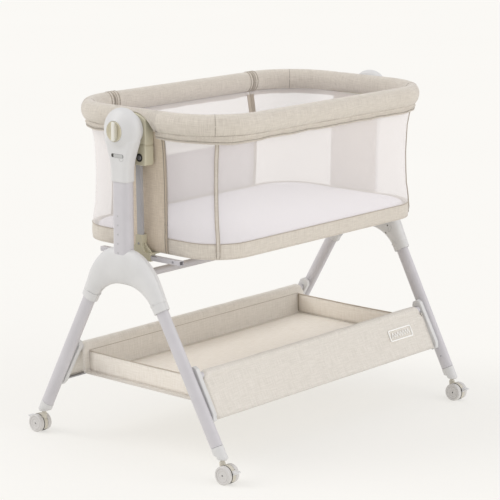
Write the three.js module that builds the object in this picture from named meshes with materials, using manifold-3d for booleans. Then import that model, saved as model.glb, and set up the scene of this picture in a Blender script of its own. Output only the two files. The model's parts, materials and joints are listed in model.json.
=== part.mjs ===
// Bassinet on a height-adjustable wheeled stand.  Millimetres, +Z up, floor at z = 0.
// X runs along the bassinet, -Y is the front, +Y is the side whose panel drops down.
import * as THREE from 'three';
import Module from 'manifold-3d';
import { mergeVertices } from 'three/addons/utils/BufferGeometryUtils.js';

const wasm = await Module();
wasm.setup();
const { Manifold, Mesh: SolidMesh } = wasm;
const group = new THREE.Group();

// ---- driving dimensions -------------------------------------------------------------
const XA = 430, XFOOT = 415;          // end-frame mid-plane at the apex / at the foot
const YFOOT = 270, ZFOOT = 48;        // where the leg axis meets the caster stem
const ZAPEX = 539;                    // where the two leg axes of one end meet
const LEAN = (XA - XFOOT) / (ZAPEX - ZFOOT);
const XPOST = XA + LEAN * (457 - ZAPEX);            // upright post axis, where it enters the arch
const LEG_A = 30, LEG_B = 24, LEG_WALL = 1.6;      // oval leg: in-plane / along X
const LEG_TOP_T = 0.32;               // the leg starts this share of the way from apex to foot
const POST_X = 30, POST_Y = 46, POST_WALL = 2;     // telescopic outer tube
const ZPIVOT = 721, HEAD_R = 48, NECK_Z = 611;
const RAIL = { X: 380, Y: 222, R: 125, Z: 740.5, HW: 17, HZ: 24.5, TUBE: 10 };
const TUB = { X: 362, Y: 214, R: 92, Z0: 452, Z1: 486 };
const PAD = { X: 355, Y: 203.5, R: 97 };
const DROP = 238;                     // half length of the drop-down side
const WHEEL_R = 20.5, TRAIL = 13;
const BRAIL_Y = 181.5, BRAIL_Z = 209; // storage-basket rails
const ROD_Y = 226.5, ROD_Z = 128;     // thin rods along the lower edges of its flaps

// ---- materials ----------------------------------------------------------------------
const mat = (c, r, m = 0) => new THREE.MeshStandardMaterial({ color: c, roughness: r, metalness: m });
const paint = () => mat('#e4e2e4', 0.35), plastic = () => mat('#e9e9e6', 0.45);
const linen = () => mat('#ddd5c9', 0.95), net = () => mat('#efeae7', 0.9);
const beige = () => mat('#cfccbd', 0.5), steel = () => mat('#a9a9ab', 0.35, 0.8);

function add(name, geo, material) {
  const g = geo.index ? geo.toNonIndexed() : geo;
  g.deleteAttribute('uv');
  g.computeVertexNormals();
  const mesh = new THREE.Mesh(g, material);
  mesh.name = name;
  group.add(mesh);
}

// ---- solids from rings of points ------------------------------------------------------
function closeUp(pos, idx) {
  let v = 0;
  const p = i => new THREE.Vector3(pos[3 * i], pos[3 * i + 1], pos[3 * i + 2]);
  for (let i = 0; i < idx.length; i += 3) v += p(idx[i]).dot(p(idx[i + 1]).cross(p(idx[i + 2])));
  if (v < 0) for (let i = 0; i < idx.length; i += 3) [idx[i], idx[i + 1]] = [idx[i + 1], idx[i]];
  const g = new THREE.BufferGeometry();
  g.setAttribute('position', new THREE.Float32BufferAttribute(pos, 3));
  g.setIndex(idx);
  return g;
}

function capTriangles(ring) {
  const c = ring.reduce((a, p) => a.add(p), new THREE.Vector3()).divideScalar(ring.length);
  const n = new THREE.Vector3();
  ring.forEach((p, i) => n.add(p.clone().sub(c).cross(ring[(i + 1) % ring.length].clone().sub(c))));
  n.normalize();
  const u = Math.abs(n.z) < 0.9 ? new THREE.Vector3(0, 0, 1).cross(n) : new THREE.Vector3(1, 0, 0).cross(n);
  u.normalize();
  const w = n.clone().cross(u);
  return THREE.ShapeUtils.triangulateShape(ring.map(p => new THREE.Vector2(p.dot(u), p.dot(w))), []);
}

// Solid between rings of equal length, capped at both ends.
function loft(rings) {
  const n = rings[0].length, pos = [], idx = [];
  rings.forEach(r => r.forEach(p => pos.push(p.x, p.y, p.z)));
  for (let k = 0; k + 1 < rings.length; k++) for (let i = 0; i < n; i++) {
    const a = k * n + i, b = k * n + (i + 1) % n;
    idx.push(a, b, b + n, a, b + n, a + n);
  }
  const last = (rings.length - 1) * n;
  capTriangles(rings[0]).forEach(([a, b, c]) => idx.push(a, c, b));
  capTriangles(rings.at(-1)).forEach(([a, b, c]) => idx.push(last + a, last + b, last + c));
  return closeUp(pos, idx);
}

// Open-ended tube between outer rings and matching inner rings.
function pipe(outer, inner) {
  const n = outer[0].length, m = outer.length, pos = [], idx = [];
  [...outer, ...inner].forEach(r => r.forEach(p => pos.push(p.x, p.y, p.z)));
  for (let k = 0; k + 1 < m; k++) for (let i = 0; i < n; i++) {
    const a = k * n + i, b = k * n + (i + 1) % n, c = a + m * n, d = b + m * n;
    idx.push(a, b, b + n, a, b + n, a + n, d, c, c + n, d, c + n, d + n);
  }
  for (const k of [0, m - 1]) for (let i = 0; i < n; i++) {
    const a = k * n + i, b = k * n + (i + 1) % n, c = a + m * n, d = b + m * n;
    if (k) idx.push(a, b, d, a, d, c); else idx.push(b, a, c, b, c, d);
  }
  return closeUp(pos, idx);
}

// ---- booleans -------------------------------------------------------------------------
function solid(g) {
  g = g.clone();
  g.deleteAttribute('normal'); g.deleteAttribute('uv');
  g = mergeVertices(g, 1e-4);
  const pos = new Float32Array(g.attributes.position.array);
  return new Manifold(new SolidMesh({ numProp: 3, vertProperties: pos, triVerts: new Uint32Array(g.index.array) }));
}
function geometry(s) {
  const m = s.getMesh(), g = new THREE.BufferGeometry(), p = new Float32Array(m.numVert * 3);
  for (let i = 0; i < m.numVert; i++) for (let k = 0; k < 3; k++) p[3 * i + k] = m.vertProperties[i * m.numProp + k];
  g.setAttribute('position', new THREE.BufferAttribute(p, 3));
  g.setIndex([...m.triVerts]);
  return g;
}
const join = (...gs) => gs.map(solid).reduce((a, b) => a.add(b));
const cut = (s, ...gs) => gs.reduce((a, g) => a.subtract(solid(g)), s);

const box = (x0, x1, y0, y1, z0, z1) => new THREE.BoxGeometry(x1 - x0, y1 - y0, z1 - z0)
  .translate((x0 + x1) / 2, (y0 + y1) / 2, (z0 + z1) / 2);
const rodX = (r, x0, x1, y, z, n = 20) => new THREE.CylinderGeometry(r, r, x1 - x0, n)
  .rotateZ(-Math.PI / 2).translate((x0 + x1) / 2, y, z);
const rodY = (r, y0, y1, x, z, n = 20) => new THREE.CylinderGeometry(r, r, y1 - y0, n).translate(x, (y0 + y1) / 2, z);
const rodZ = (r, z0, z1, x, y, n = 16) => new THREE.CylinderGeometry(r, r, z1 - z0, n)
  .rotateX(Math.PI / 2).translate(x, y, (z0 + z1) / 2);

// Plate whose outline lies in Y-Z, from x0 to x1, with an optional edge bevel.
function plateYZ(points, x0, x1, bevel = 0, holes = []) {
  const s = new THREE.Shape(points.map(([y, z]) => new THREE.Vector2(y, z)));
  holes.forEach(h => s.holes.push(new THREE.Path(h.map(([y, z]) => new THREE.Vector2(y, z)))));
  const g = new THREE.ExtrudeGeometry(s, {
    depth: x1 - x0 - 2 * bevel, bevelEnabled: bevel > 0, bevelThickness: bevel, bevelSize: bevel,
    bevelOffset: -bevel, bevelSegments: 2, curveSegments: 1,
  });
  g.applyMatrix4(new THREE.Matrix4().makeBasis(
    new THREE.Vector3(0, 1, 0), new THREE.Vector3(0, 0, 1), new THREE.Vector3(1, 0, 0)));
  return g.translate(x0 + bevel, 0, 0);
}

function mirrorX(g) {
  g = (g.index ? g : mergeVertices(g)).clone();
  g.scale(-1, 1, 1);
  const i = [...g.index.array];
  for (let k = 0; k < i.length; k += 3) [i[k], i[k + 1]] = [i[k + 1], i[k]];
  g.setIndex(i);
  return g;
}
const sideX = (s, g) => (s > 0 ? g : mirrorX(g));
function leanOut(g) {
  const p = g.attributes.position;
  for (let i = 0; i < p.count; i++) p.setX(i, p.getX(i) + LEAN * (p.getZ(i) - ZAPEX));
  return g;
}

// ---- outlines -------------------------------------------------------------------------
// Rounded rectangle a x b with corner radius r, centred on (cx, cy), in the X-Y plane.
function stadium(cx, cy, a, b, r, z, seg = 4) {
  const out = [];
  [[1, 1, 0], [-1, 1, 90], [-1, -1, 180], [1, -1, 270]].forEach(([sx, sy, a0]) => {
    for (let k = 0; k <= seg; k++) {
      const t = THREE.MathUtils.degToRad(a0 + 90 * k / seg);
      out.push(new THREE.Vector3(cx + sx * (a / 2 - r) + r * Math.cos(t), cy + sy * (b / 2 - r) + r * Math.sin(t), z));
    }
  });
  return out;
}

// Plan outline of the tub as stations {p, n}; open along the drop side between -DROP and +DROP,
// running from the far left round the front to the far right.
function planPath(X, Y, R, seg = 6, drop = DROP, mid = []) {
  const out = [];
  const arc = (cx, cy, a0) => {
    for (let k = 0; k <= seg; k++) {
      const t = THREE.MathUtils.degToRad(a0 + 90 * k / seg), n = new THREE.Vector2(Math.cos(t), Math.sin(t));
      out.push({ p: new THREE.Vector2(cx + R * n.x, cy + R * n.y), n });
    }
  };
  out.push({ p: new THREE.Vector2(-drop, Y), n: new THREE.Vector2(0, 1) });
  arc(-X + R, Y - R, 90);
  mid.forEach(y => out.push({ p: new THREE.Vector2(-X, y), n: new THREE.Vector2(-1, 0) }));
  arc(-X + R, -Y + R, 180);
  arc(X - R, -Y + R, 270);
  mid.forEach(y => out.push({ p: new THREE.Vector2(X, -y), n: new THREE.Vector2(1, 0) }));
  arc(X - R, Y - R, 0);
  out.push({ p: new THREE.Vector2(drop, Y), n: new THREE.Vector2(0, 1) });
  return out;
}
const planRing = (X, Y, R, z, seg = 6) => stadium(0, 0, 2 * X, 2 * Y, R, z, seg);

// ---- legs, arches and cross bar -----------------------------------------------------------
const LEG_LEN = Math.hypot(YFOOT, ZAPEX - ZFOOT);
const DIR = { y: YFOOT / LEG_LEN, z: -(ZAPEX - ZFOOT) / LEG_LEN };

// Oval ring square to the leg axis, at distance d from the apex, on side e = -1 front / +1 rear.
function legRing(d, a, b, e, n = 16) {
  return [...Array(n).keys()].map(k => {
    const t = 2 * Math.PI * k / n, q = a / 2 * Math.cos(t);
    return new THREE.Vector3(XA + b / 2 * Math.sin(t), e * (d * DIR.y - q * DIR.z), ZAPEX + d * DIR.z + q * DIR.y);
  });
}
function legTube(s, e) {
  const ends = [LEG_TOP_T * LEG_LEN, LEG_LEN - 30.3];
  const w = 2 * LEG_WALL;
  return sideX(s, leanOut(pipe(ends.map(d => legRing(d, LEG_A, LEG_B, e)),
    ends.map(d => legRing(d, LEG_A - w, LEG_B - w, e)))));
}
function footPlug(s, e) {
  const ring = d => legRing(d, LEG_A + 0.6, LEG_B + 0.6, e);
  const base = [...Array(16).keys()].map(k => {
    const t = 2 * Math.PI * k / 16;
    return new THREE.Vector3(XA + 10 * Math.sin(t), e * (YFOOT + 10.5 * Math.cos(t)), ZFOOT + 2.2);
  });
  return sideX(s, leanOut(loft([ring(LEG_LEN - 30), ring(LEG_LEN - 15), base])));
}

const ARCH_OUT = [[0, 468], [22, 467], [44, 461], [64, 448.5], [81, 432], [96, 411], [110, 385], [120, 368], [129, 354.2]];
const ARCH_IN = [[87, 331], [84, 345], [75, 358.5], [61, 370], [45, 379.5], [25, 385.5], [0, 387]];
function archBody() {
  const half = [...ARCH_OUT, ...ARCH_IN];
  const loop = [...half, ...half.slice(1, -1).reverse().map(([y, z]) => [-y, z])];
  const g = plateYZ(loop, -23, 23, 7);
  const p = g.attributes.position;
  for (let i = 0; i < p.count; i++) {
    const k = THREE.MathUtils.clamp((p.getZ(i) - 330) / 95, 0, 1);
    p.setX(i, XA + p.getX(i) * (0.83 + 0.17 * k));
  }
  let s = solid(g);
  for (const e of [-1, 1]) {
    const bore = [LEG_TOP_T * LEG_LEN - 3, LEG_LEN].map(d => legRing(d, LEG_A + 0.8, LEG_B + 0.8, e));
    s = cut(s, loft(bore));
  }
  const lean = solid(leanOut(geometry(s)));
  const pocket = [445, 480].map(z => stadium(XPOST, 0, POST_X + 1, POST_Y + 1, 13.5, z));
  const foot = [414, 446].map(z => stadium(XPOST, 0, 24.6, 40.6, 10.3, z));
  return cut(lean, loft(pocket), loft(foot), rodX(8.7, XA - 60, 412, 0, 400, 14));
}
function archShell(s, outer) {
  const keep = outer ? box(XPOST + 0.15, XA + 60, -200, 200, 300, 500) : box(XA - 60, XPOST - 0.15, -200, 200, 300, 500);
  return sideX(s, geometry(archBody().intersect(solid(keep))));
}

function innerPost(s) {
  const rings = (a, b, r) => [415, 592].map(z => stadium(XPOST, 0, a, b, r, z));
  return sideX(s, pipe(rings(24, 40, 10), rings(20, 36, 8)));
}
function outerPost(s) {
  const rings = (a, b, r) => [446, 655].map(z => stadium(XPOST, 0, a, b, r, z));
  const w = 2 * POST_WALL;
  return sideX(s, pipe(rings(POST_X, POST_Y, 13), rings(POST_X - w, POST_Y - w, 11)));
}
function crossBar() {
  const ring = (x, r) => [...Array(14).keys()].map(k => {
    const t = 2 * Math.PI * k / 14;
    return new THREE.Vector3(x, r * Math.cos(t), 400 + r * Math.sin(t));
  });
  const e = 411.6;
  return pipe([-e, e].map(x => ring(x, 8.3)), [-e, e].map(x => ring(x, 7)));
}

// ---- head casing with its knob and release slider ---------------------------------------------
const HX = XPOST;                       // the head sits on the post axis
function headCasing(s) {
  const pts = [];
  for (let k = 0; k <= 18; k++) {
    const t = THREE.MathUtils.degToRad(-52 + 284 * k / 18);
    pts.push([HEAD_R * Math.cos(t), ZPIVOT + HEAD_R * Math.sin(t)]);
  }
  pts.push([-26.5, 655], [-25.5, NECK_Z], [25.5, NECK_Z], [26.5, 655]);
  const shell = plateYZ(pts, HX - 17.5, HX + 20, 4);
  const back = rodX(43, HX - 27, HX - 15, 0, ZPIVOT, 24);
  const dome = new THREE.CylinderGeometry(31, 45, 11, 24).rotateZ(-Math.PI / 2).translate(HX + 24.5, 0, ZPIVOT);
  let b = join(shell, back, dome);
  const socket = [NECK_Z - 5, 655.6].map(z => stadium(HX, 0, POST_X + 0.8, POST_Y + 0.8, 13.4, z));
  b = cut(b, loft(socket), rodX(22.6, HX + 18, HX + 40, 0, ZPIVOT, 20),
    rodX(8.3, HX - 40, HX - 4, 0, ZPIVOT, 16), box(HX + 14, HX + 30, -17, 17, 664, 672));
  return sideX(s, geometry(b));
}
function lockKnob(s) {
  const b = join(rodX(21.8, HX + 18.4, HX + 22, 0, ZPIVOT, 20), box(HX + 21, HX + 31, -5, 5, ZPIVOT - 19, ZPIVOT + 19));
  return sideX(s, geometry(b));
}
const releaseSlider = s => sideX(s, box(HX + 14.5, HX + 19, -16, 10, 664.5, 671.5));

// ---- bassinet: rail, cover, brackets, struts ---------------------------------------------------
const LIFT = [56, 53, 50, 47, 44, -44, -47, -50, -53, -56];      // where the sleeve opens over a bracket
const railStations = (drop, mid) => planPath(RAIL.X, RAIL.Y, RAIL.R, 6, drop, mid);
function railRing(st, r, n = 8) {
  return [...Array(n).keys()].map(k => {
    const t = 2 * Math.PI * k / n, c = r * Math.cos(t);
    return new THREE.Vector3(st.p.x + c * st.n.x, st.p.y + c * st.n.y, RAIL.Z + r * Math.sin(t));
  });
}
// Padded sleeve round the tube, slit underneath, lifted over the bracket at each end.
function coverRing(st, closed) {
  const over = !closed && Math.abs(st.n.y) < 0.01 && Math.abs(st.p.y) < 56;
  const k = over ? THREE.MathUtils.clamp((56 - Math.abs(st.p.y)) / 12, 0, 1) : 0;
  const o0 = THREE.MathUtils.lerp(-86, 20, k), i0 = THREE.MathUtils.lerp(-80, 44, k), out = [];
  const put = (rx, rz, deg) => {
    const t = THREE.MathUtils.degToRad(deg), c = rx * Math.cos(t);
    out.push(new THREE.Vector3(st.p.x + c * st.n.x, st.p.y + c * st.n.y, RAIL.Z + rz * Math.sin(t)));
  };
  for (let i = 0; i <= 11; i++) put(RAIL.HW, RAIL.HZ, o0 + (180 - 2 * o0) * i / 11);
  for (let i = 9; i >= 0; i--) put(11.6, 11.6, i0 + (180 - 2 * i0) * i / 9);
  return out;
}
const railTube = () => {
  const st = railStations(DROP - 1);
  return pipe(st.map(s => railRing(s, RAIL.TUBE)), st.map(s => railRing(s, RAIL.TUBE - 1.5)));
};
const railCover = () => loft(railStations(DROP + 1.5, LIFT).map(s => coverRing(s, false)));
const dropStations = h => [-h, h].map(x => ({ p: new THREE.Vector2(x, RAIL.Y), n: new THREE.Vector2(0, 1) }));
const dropTube = () => {
  const st = dropStations(DROP - 3);
  return pipe(st.map(s => railRing(s, RAIL.TUBE)), st.map(s => railRing(s, RAIL.TUBE - 1.5)));
};
const dropCover = () => loft(dropStations(DROP - 0.5).map(s => coverRing(s, true)));

function tubBracket(s) {
  const pts = [[-39, 746], [-39, 655], [-36, 648], [-29, 644], [29, 644], [36, 648], [39, 655], [39, 746]];
  const b = join(plateYZ(pts, 373, HX - 27.5, 1.5), rodX(8, HX - 29, HX - 6, 0, ZPIVOT, 16));
  return sideX(s, geometry(cut(b, rodY(10.4, -60, 60, RAIL.X, RAIL.Z, 20), box(RAIL.X - 10.4, RAIL.X + 10.4, -60, 60,
    RAIL.Z, 760), box(373.5, 384.5, -8, 8, 630, 668))));
}
function strut(s) {
  const sec = (x, z) => [[-4, -7.5], [4, -7.5], [4, 7.5], [-4, 7.5]].map(([a, b]) => new THREE.Vector3(x + a, b, z));
  return sideX(s, loft([sec(374, 456), sec(379, 667.5)]));
}
const TX = 373.5, TZ = 443;              // bottom tube along Y under each end of the tub
function teeFitting(s) {
  const pts = [[-34, 434], [34, 434], [34, 452], [16, 452], [9, 466], [9, 489], [-9, 489], [-9, 466], [-16, 452], [-34, 452]];
  const b = join(plateYZ(pts, TX - 8.5, TX + 8.5, 1), box(345, TX - 4, -30, 30, 447.5, 451.4));
  const socket = loft([[374, 454], [374.9, 492]].map(([x, z]) =>
    [[-4.3, -7.8], [4.3, -7.8], [4.3, 7.8], [-4.3, 7.8]].map(([a, c]) => new THREE.Vector3(x + a, c, z))));
  return sideX(s, geometry(cut(b, socket, box(TX - 6.9, TX + 6.9, -60, 60, TZ - 6.9, TZ + 3.9))));
}
function baseTube(s) {
  const rings = (w, z0, z1) => [-118, 118].map(y => [[-w, z0], [w, z0], [w, z1], [-w, z1]]
    .map(([a, z]) => new THREE.Vector3(TX + a, y, TZ + z)));
  return sideX(s, pipe(rings(6.6, -6.6, 3.6), rings(5.4, -5.4, 2.4)));
}

// ---- bassinet: tray, mattress and net walls -----------------------------------------------------
const tray = () => geometry(cut(solid(loft([TUB.Z0, TUB.Z1].map(z => planRing(TUB.X, TUB.Y, TUB.R, z)))),
  loft([461, 500].map(z => planRing(TUB.X - 4, TUB.Y - 4, TUB.R - 4, z)))));
// The mattress is a little smaller and rounder than the tray, so that it lifts out past the drawn-in walls.
const mattress = () => loft([[461.4, 3], [464, 0], [483, 0], [488, 5]].map(([z, i]) =>
  planRing(PAD.X - i, PAD.Y - i, PAD.R - i, z)));

// Wall height stations: z, half sizes and corner radius, drawn in towards the middle.
const WALL = [[487, 361, 213, 91], [530, 361, 209.5, 98], [600, 362, 208.5, 105], [665, 365, 212, 110], [715.4, 369.5, 219.5, 113]];
function wallLoops(drop) {
  const paths = WALL.map(([, X, Y, R]) => planPath(X, Y, R, 6, drop));
  return paths[0].map((_, i) => {
    const at = (k, d) => {
      const { p, n } = paths[k][i];
      return new THREE.Vector3(p.x + d * n.x, p.y + d * n.y, WALL[k][0]);
    };
    const up = WALL.map((_, k) => at(k, 0)), down = WALL.map((_, k) => at(k, -1.6)).reverse();
    return [...up, ...down];
  });
}
const netWall = () => loft(wallLoops(DROP + 0.5));
const dropNet = () => loft([-DROP + 0.5, DROP - 0.5].map(x => {
  const up = WALL.map(([z, , Y]) => new THREE.Vector3(x, Y, z));
  return [...up, ...WALL.map(([z, , Y]) => new THREE.Vector3(x, Y - 1.6, z)).reverse()];
}));

// ---- storage basket -------------------------------------------------------------------------
function basketRail(e) {
  const ring = (x, r) => [...Array(12).keys()].map(k => {
    const t = 2 * Math.PI * k / 12;
    return new THREE.Vector3(x, e * BRAIL_Y + r * Math.cos(t), BRAIL_Z + r * Math.sin(t));
  });
  return pipe([-392.6, 392.6].map(x => ring(x, 8)), [-392.6, 392.6].map(x => ring(x, 6.8)));
}
const flapRod = e => rodX(3, -392.6, 392.6, e * ROD_Y, ROD_Z, 8);
function basketBracket(s, e) {
  const at = (z, q) => {
    const d = (ZAPEX - z) / -DIR.z;
    return [e * (d * DIR.y - q * DIR.z), ZAPEX + d * DIR.z + q * DIR.y];
  };
  const pts = [at(229, 7), at(222, 13), at(132, 13), at(120, 7), at(120, -7), at(132, -12), at(222, -13), at(229, -7)];
  return sideX(s, plateYZ(e > 0 ? pts : pts.reverse(), 393, 404.6, 1.5));
}
function basketFabric() {
  const arc = (e, r) => [...Array(9).keys()].map(k => {
    const t = THREE.MathUtils.degToRad(-25 + 230 * k / 8);
    return [e * BRAIL_Y + (e > 0 ? -1 : 1) * -r * Math.cos(t), BRAIL_Z + r * Math.sin(t)];
  });
  // One wrap: over the rail, with the outer flap hanging to the lower rod.
  const wrap = e => {
    const out = arc(e, 11).map(([y, z]) => [y, z]), inn = arc(e, 8.6).reverse();
    return plateYZ([...out, ...inn], -385, 385);
  };
  const flap = e => plateYZ([[e * 190.6, 206], [e * 192.6, 205.2], [e * 235, 124], [e * 233, 123.6]], -385, 385);
  const inner = e => plateYZ([[e * 171, 207], [e * 173, 207], [e * 170, 150], [e * 168, 150]], -367, 367);
  const ends = [-1, 1].map(s => box(s > 0 ? 364.6 : -367, s > 0 ? 367 : -364.6, -169, 169, 150, 196));
  const floor = box(-367, 367, -169.5, 169.5, 150, 152.4);
  return geometry(join(wrap(1), wrap(-1), flap(1), flap(-1), inner(1), inner(-1), ends[0], ends[1], floor));
}

// ---- casters ----------------------------------------------------------------------------------
function casterHousing(s, e) {
  const y0 = e * YFOOT, ya = e * (YFOOT + TRAIL);
  const disc = rodX(19.6, XFOOT - 5.2, XFOOT + 5.2, ya, WHEEL_R, 24);
  const web = box(XFOOT - 5.2, XFOOT + 5.2, Math.min(y0 - e * 5, y0 + e * 12), Math.max(y0 - e * 5, y0 + e * 12), 31, 46);
  let b = join(disc, web, rodZ(6, 40, 49.6, XFOOT, y0));
  b = cut(b, rodX(3.4, XFOOT - 20, XFOOT + 20, ya, WHEEL_R, 16), box(XFOOT - 30, XFOOT + 30, ya - 40, ya + 40, -10, 6));
  return sideX(s, geometry(b));
}
function wheelPair(s, e) {
  const half = [[0, 17], [18.5, 17], [20.5, 15], [20.5, 7.3], [19, 5.8], [3.2, 5.8]];
  const prof = [...half.map(([r, x]) => [r, -x]), ...half.reverse()];
  const g = new THREE.LatheGeometry(prof.map(([r, x]) => new THREE.Vector2(r, x)), 20);
  g.rotateZ(-Math.PI / 2).translate(XFOOT, e * (YFOOT + TRAIL), WHEEL_R);
  const m = geometry(solid(g));
  return sideX(s, m);
}
function brakePedal(s, e) {
  const pts = [], P = (r, deg) => {
    const t = THREE.MathUtils.degToRad(deg);
    return [e * (YFOOT + TRAIL + r * Math.cos(t)), WHEEL_R + r * Math.sin(t)];
  };
  [62, 50, 38, 30].forEach(d => pts.push(P(23, d)));
  pts.push(P(34, 22), P(34.5, 17), P(23, 18));
  [6, 18, 30, 44, 62].forEach(d => pts.push(P(20.2, d)));
  return sideX(s, plateYZ(e > 0 ? pts.reverse() : pts, XFOOT - 5, XFOOT + 5));
}

// ---- assembly -----------------------------------------------------------------------------------
const ENDS = [[-1, 'left'], [1, 'right']], SIDES = [[-1, 'front'], [1, 'rear']];
for (const [s, end] of ENDS) {
  add(`arch_outer_${end}`, archShell(s, true), plastic());
  add(`arch_inner_${end}`, archShell(s, false), plastic());
  add(`inner_post_${end}`, innerPost(s), steel());
  add(`outer_post_${end}`, outerPost(s), paint());
  add(`head_casing_${end}`, headCasing(s), plastic());
  add(`swing_lock_knob_${end}`, lockKnob(s), plastic());
  add(`height_release_${end}`, releaseSlider(s), mat('#b9b9b6', 0.5));
  add(`tub_bracket_${end}`, tubBracket(s), beige());
  add(`strut_${end}`, strut(s), steel());
  add(`tee_fitting_${end}`, teeFitting(s), beige());
  add(`base_tube_${end}`, baseTube(s), paint());
  for (const [e, side] of SIDES) {
    const id = `${side}_${end}`;
    add(`leg_${id}`, legTube(s, e), paint());
    add(`foot_plug_${id}`, footPlug(s, e), plastic());
    add(`basket_bracket_${id}`, basketBracket(s, e), plastic());
    add(`caster_housing_${id}`, casterHousing(s, e), plastic());
    add(`caster_wheels_${id}`, wheelPair(s, e), plastic());
    add(`brake_pedal_${id}`, brakePedal(s, e), plastic());
  }
}
for (const [e, side] of SIDES) {
  add(`basket_rail_${side}`, basketRail(e), paint());
  add(`flap_rod_${side}`, flapRod(e), steel());
}
add('cross_bar', crossBar(), paint());
add('storage_basket', basketFabric(), linen());
add('rail_tube', railTube(), steel());
add('rail_cover', railCover(), linen());
add('base_tray', tray(), linen());
add('mattress', mattress(), mat('#f3f1f5', 0.9));
add('net_wall', netWall(), net());
add('drop_rail_tube', dropTube(), steel());
add('drop_rail_cover', dropCover(), linen());
add('drop_net', dropNet(), net());

export default group;
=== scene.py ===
import json
import math

import bmesh
import bpy
from mathutils import Matrix, Vector, noise
from mathutils.bvhtree import BVHTree


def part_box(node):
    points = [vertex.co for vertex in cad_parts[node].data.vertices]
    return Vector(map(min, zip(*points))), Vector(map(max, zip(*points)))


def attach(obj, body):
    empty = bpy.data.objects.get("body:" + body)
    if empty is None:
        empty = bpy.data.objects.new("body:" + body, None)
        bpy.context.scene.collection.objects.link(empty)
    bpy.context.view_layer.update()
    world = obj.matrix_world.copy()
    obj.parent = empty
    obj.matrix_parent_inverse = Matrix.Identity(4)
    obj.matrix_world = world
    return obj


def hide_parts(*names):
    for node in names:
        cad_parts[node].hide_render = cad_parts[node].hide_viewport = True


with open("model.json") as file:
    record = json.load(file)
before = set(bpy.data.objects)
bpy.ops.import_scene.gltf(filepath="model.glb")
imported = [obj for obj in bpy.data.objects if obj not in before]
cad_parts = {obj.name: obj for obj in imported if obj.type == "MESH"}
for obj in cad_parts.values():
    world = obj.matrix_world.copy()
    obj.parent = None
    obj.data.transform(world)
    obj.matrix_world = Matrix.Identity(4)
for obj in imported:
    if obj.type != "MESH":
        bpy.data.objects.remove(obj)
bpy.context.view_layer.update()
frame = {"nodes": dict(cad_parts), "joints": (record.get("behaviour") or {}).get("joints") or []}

MM = 0.001

# ---- sizes in millimetres, from the frame where it gives them ---------------------------
def node_box(name):
    low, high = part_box(name)
    return low / MM, high / MM


POST_LOW, POST_HIGH = node_box("outer_post_right")
POST_X = (POST_LOW.x + POST_HIGH.x) / 2
joint_at = {j["name"]: [v / MM for v in j["pos_m"]] for j in frame["joints"] if "pos_m" in j}
PIVOT_Z = joint_at["bassinet_swing"][2]
FOOT_X, FOOT_Y = joint_at["swivel_rear_right"][0], joint_at["swivel_rear_right"][1]
AXLE_Y, AXLE_Z = joint_at["roll_rear_right"][1], joint_at["roll_rear_right"][2]
TRAY_LOW, TRAY_HIGH = node_box("base_tray")
PAD_LOW, PAD_HIGH = node_box("rail_cover")
RAIL_HALF_W, RAIL_HALF_H = 17.0, 24.5           # padded rail, half its section
RAIL_X, RAIL_Y = PAD_HIGH.x - RAIL_HALF_W, -PAD_LOW.y - RAIL_HALF_W
RAIL_R, RAIL_Z = 125.0, PAD_HIGH.z - RAIL_HALF_H
DROP = node_box("drop_rail_cover")[1].x         # half length of the side that drops
APEX_X, APEX_Z, FOOT_Z = 430.0, 539.0, 48.0     # where one end's leg axes meet, and the foot
LEAN = (APEX_X - FOOT_X) / (APEX_Z - FOOT_Z)
LEG_LEN = math.hypot(FOOT_Y, APEX_Z - FOOT_Z)
LEG_Y, LEG_Z = FOOT_Y / LEG_LEN, (FOOT_Z - APEX_Z) / LEG_LEN
BRAIL_LOW, BRAIL_HIGH = node_box("basket_rail_rear")
BRAIL_Y, BRAIL_Z = (BRAIL_LOW.y + BRAIL_HIGH.y) / 2, (BRAIL_LOW.z + BRAIL_HIGH.z) / 2
ROD_LOW, ROD_HIGH = node_box("flap_rod_rear")
ROD_Y, ROD_Z = (ROD_LOW.y + ROD_HIGH.y) / 2, (ROD_LOW.z + ROD_HIGH.z) / 2
TRAY_R = 92.0                                   # corner radius of the tray, its hem and the mattress
HOLE_LOW, HOLE_PITCH, HOLES = 458.0, 20.0, 5    # height holes down each post
FLAP_LOW_Y, FLAP_LOW_Z, FLAP_TOP_Y, FLAP_TOP_Z = 233.8, 124.3, 194.3, 203.0     # the basket's front flap
FLAP_IN, FLAP_UP = FLAP_LOW_Y - FLAP_TOP_Y, FLAP_TOP_Z - FLAP_LOW_Z
ENDS = {"left": -1, "right": 1}
SIDES = {"front": -1, "rear": 1}


# ---- materials ---------------------------------------------------------------------------
def linear(hex_colour):
    """sRGB hex to the linear colour that a shader socket takes."""
    parts = [int(hex_colour[i:i + 2], 16) / 255 for i in (0, 2, 4)]
    return [c / 12.92 if c <= 0.04045 else ((c + 0.055) / 1.055) ** 2.4 for c in parts] + [1.0]


def add(tree, kind, inputs=None, **settings):
    """Adds a node, sets its options, and fills or links its inputs."""
    node = tree.nodes.new(kind)
    for key, value in settings.items():
        setattr(node, key, value)
    for key, value in (inputs or {}).items():
        socket = node.inputs[key]
        if isinstance(value, bpy.types.NodeSocket):
            tree.links.new(value, socket)
        else:
            socket.default_value = value
    return node


def start_material(name, **sockets):
    material = bpy.data.materials.new(name)
    material.use_nodes = True
    tree = material.node_tree
    tree.nodes.clear()
    shader = add(tree, "ShaderNodeBsdfPrincipled", sockets)
    add(tree, "ShaderNodeOutputMaterial", {"Surface": shader.outputs["BSDF"]})
    return material, tree, shader


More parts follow.
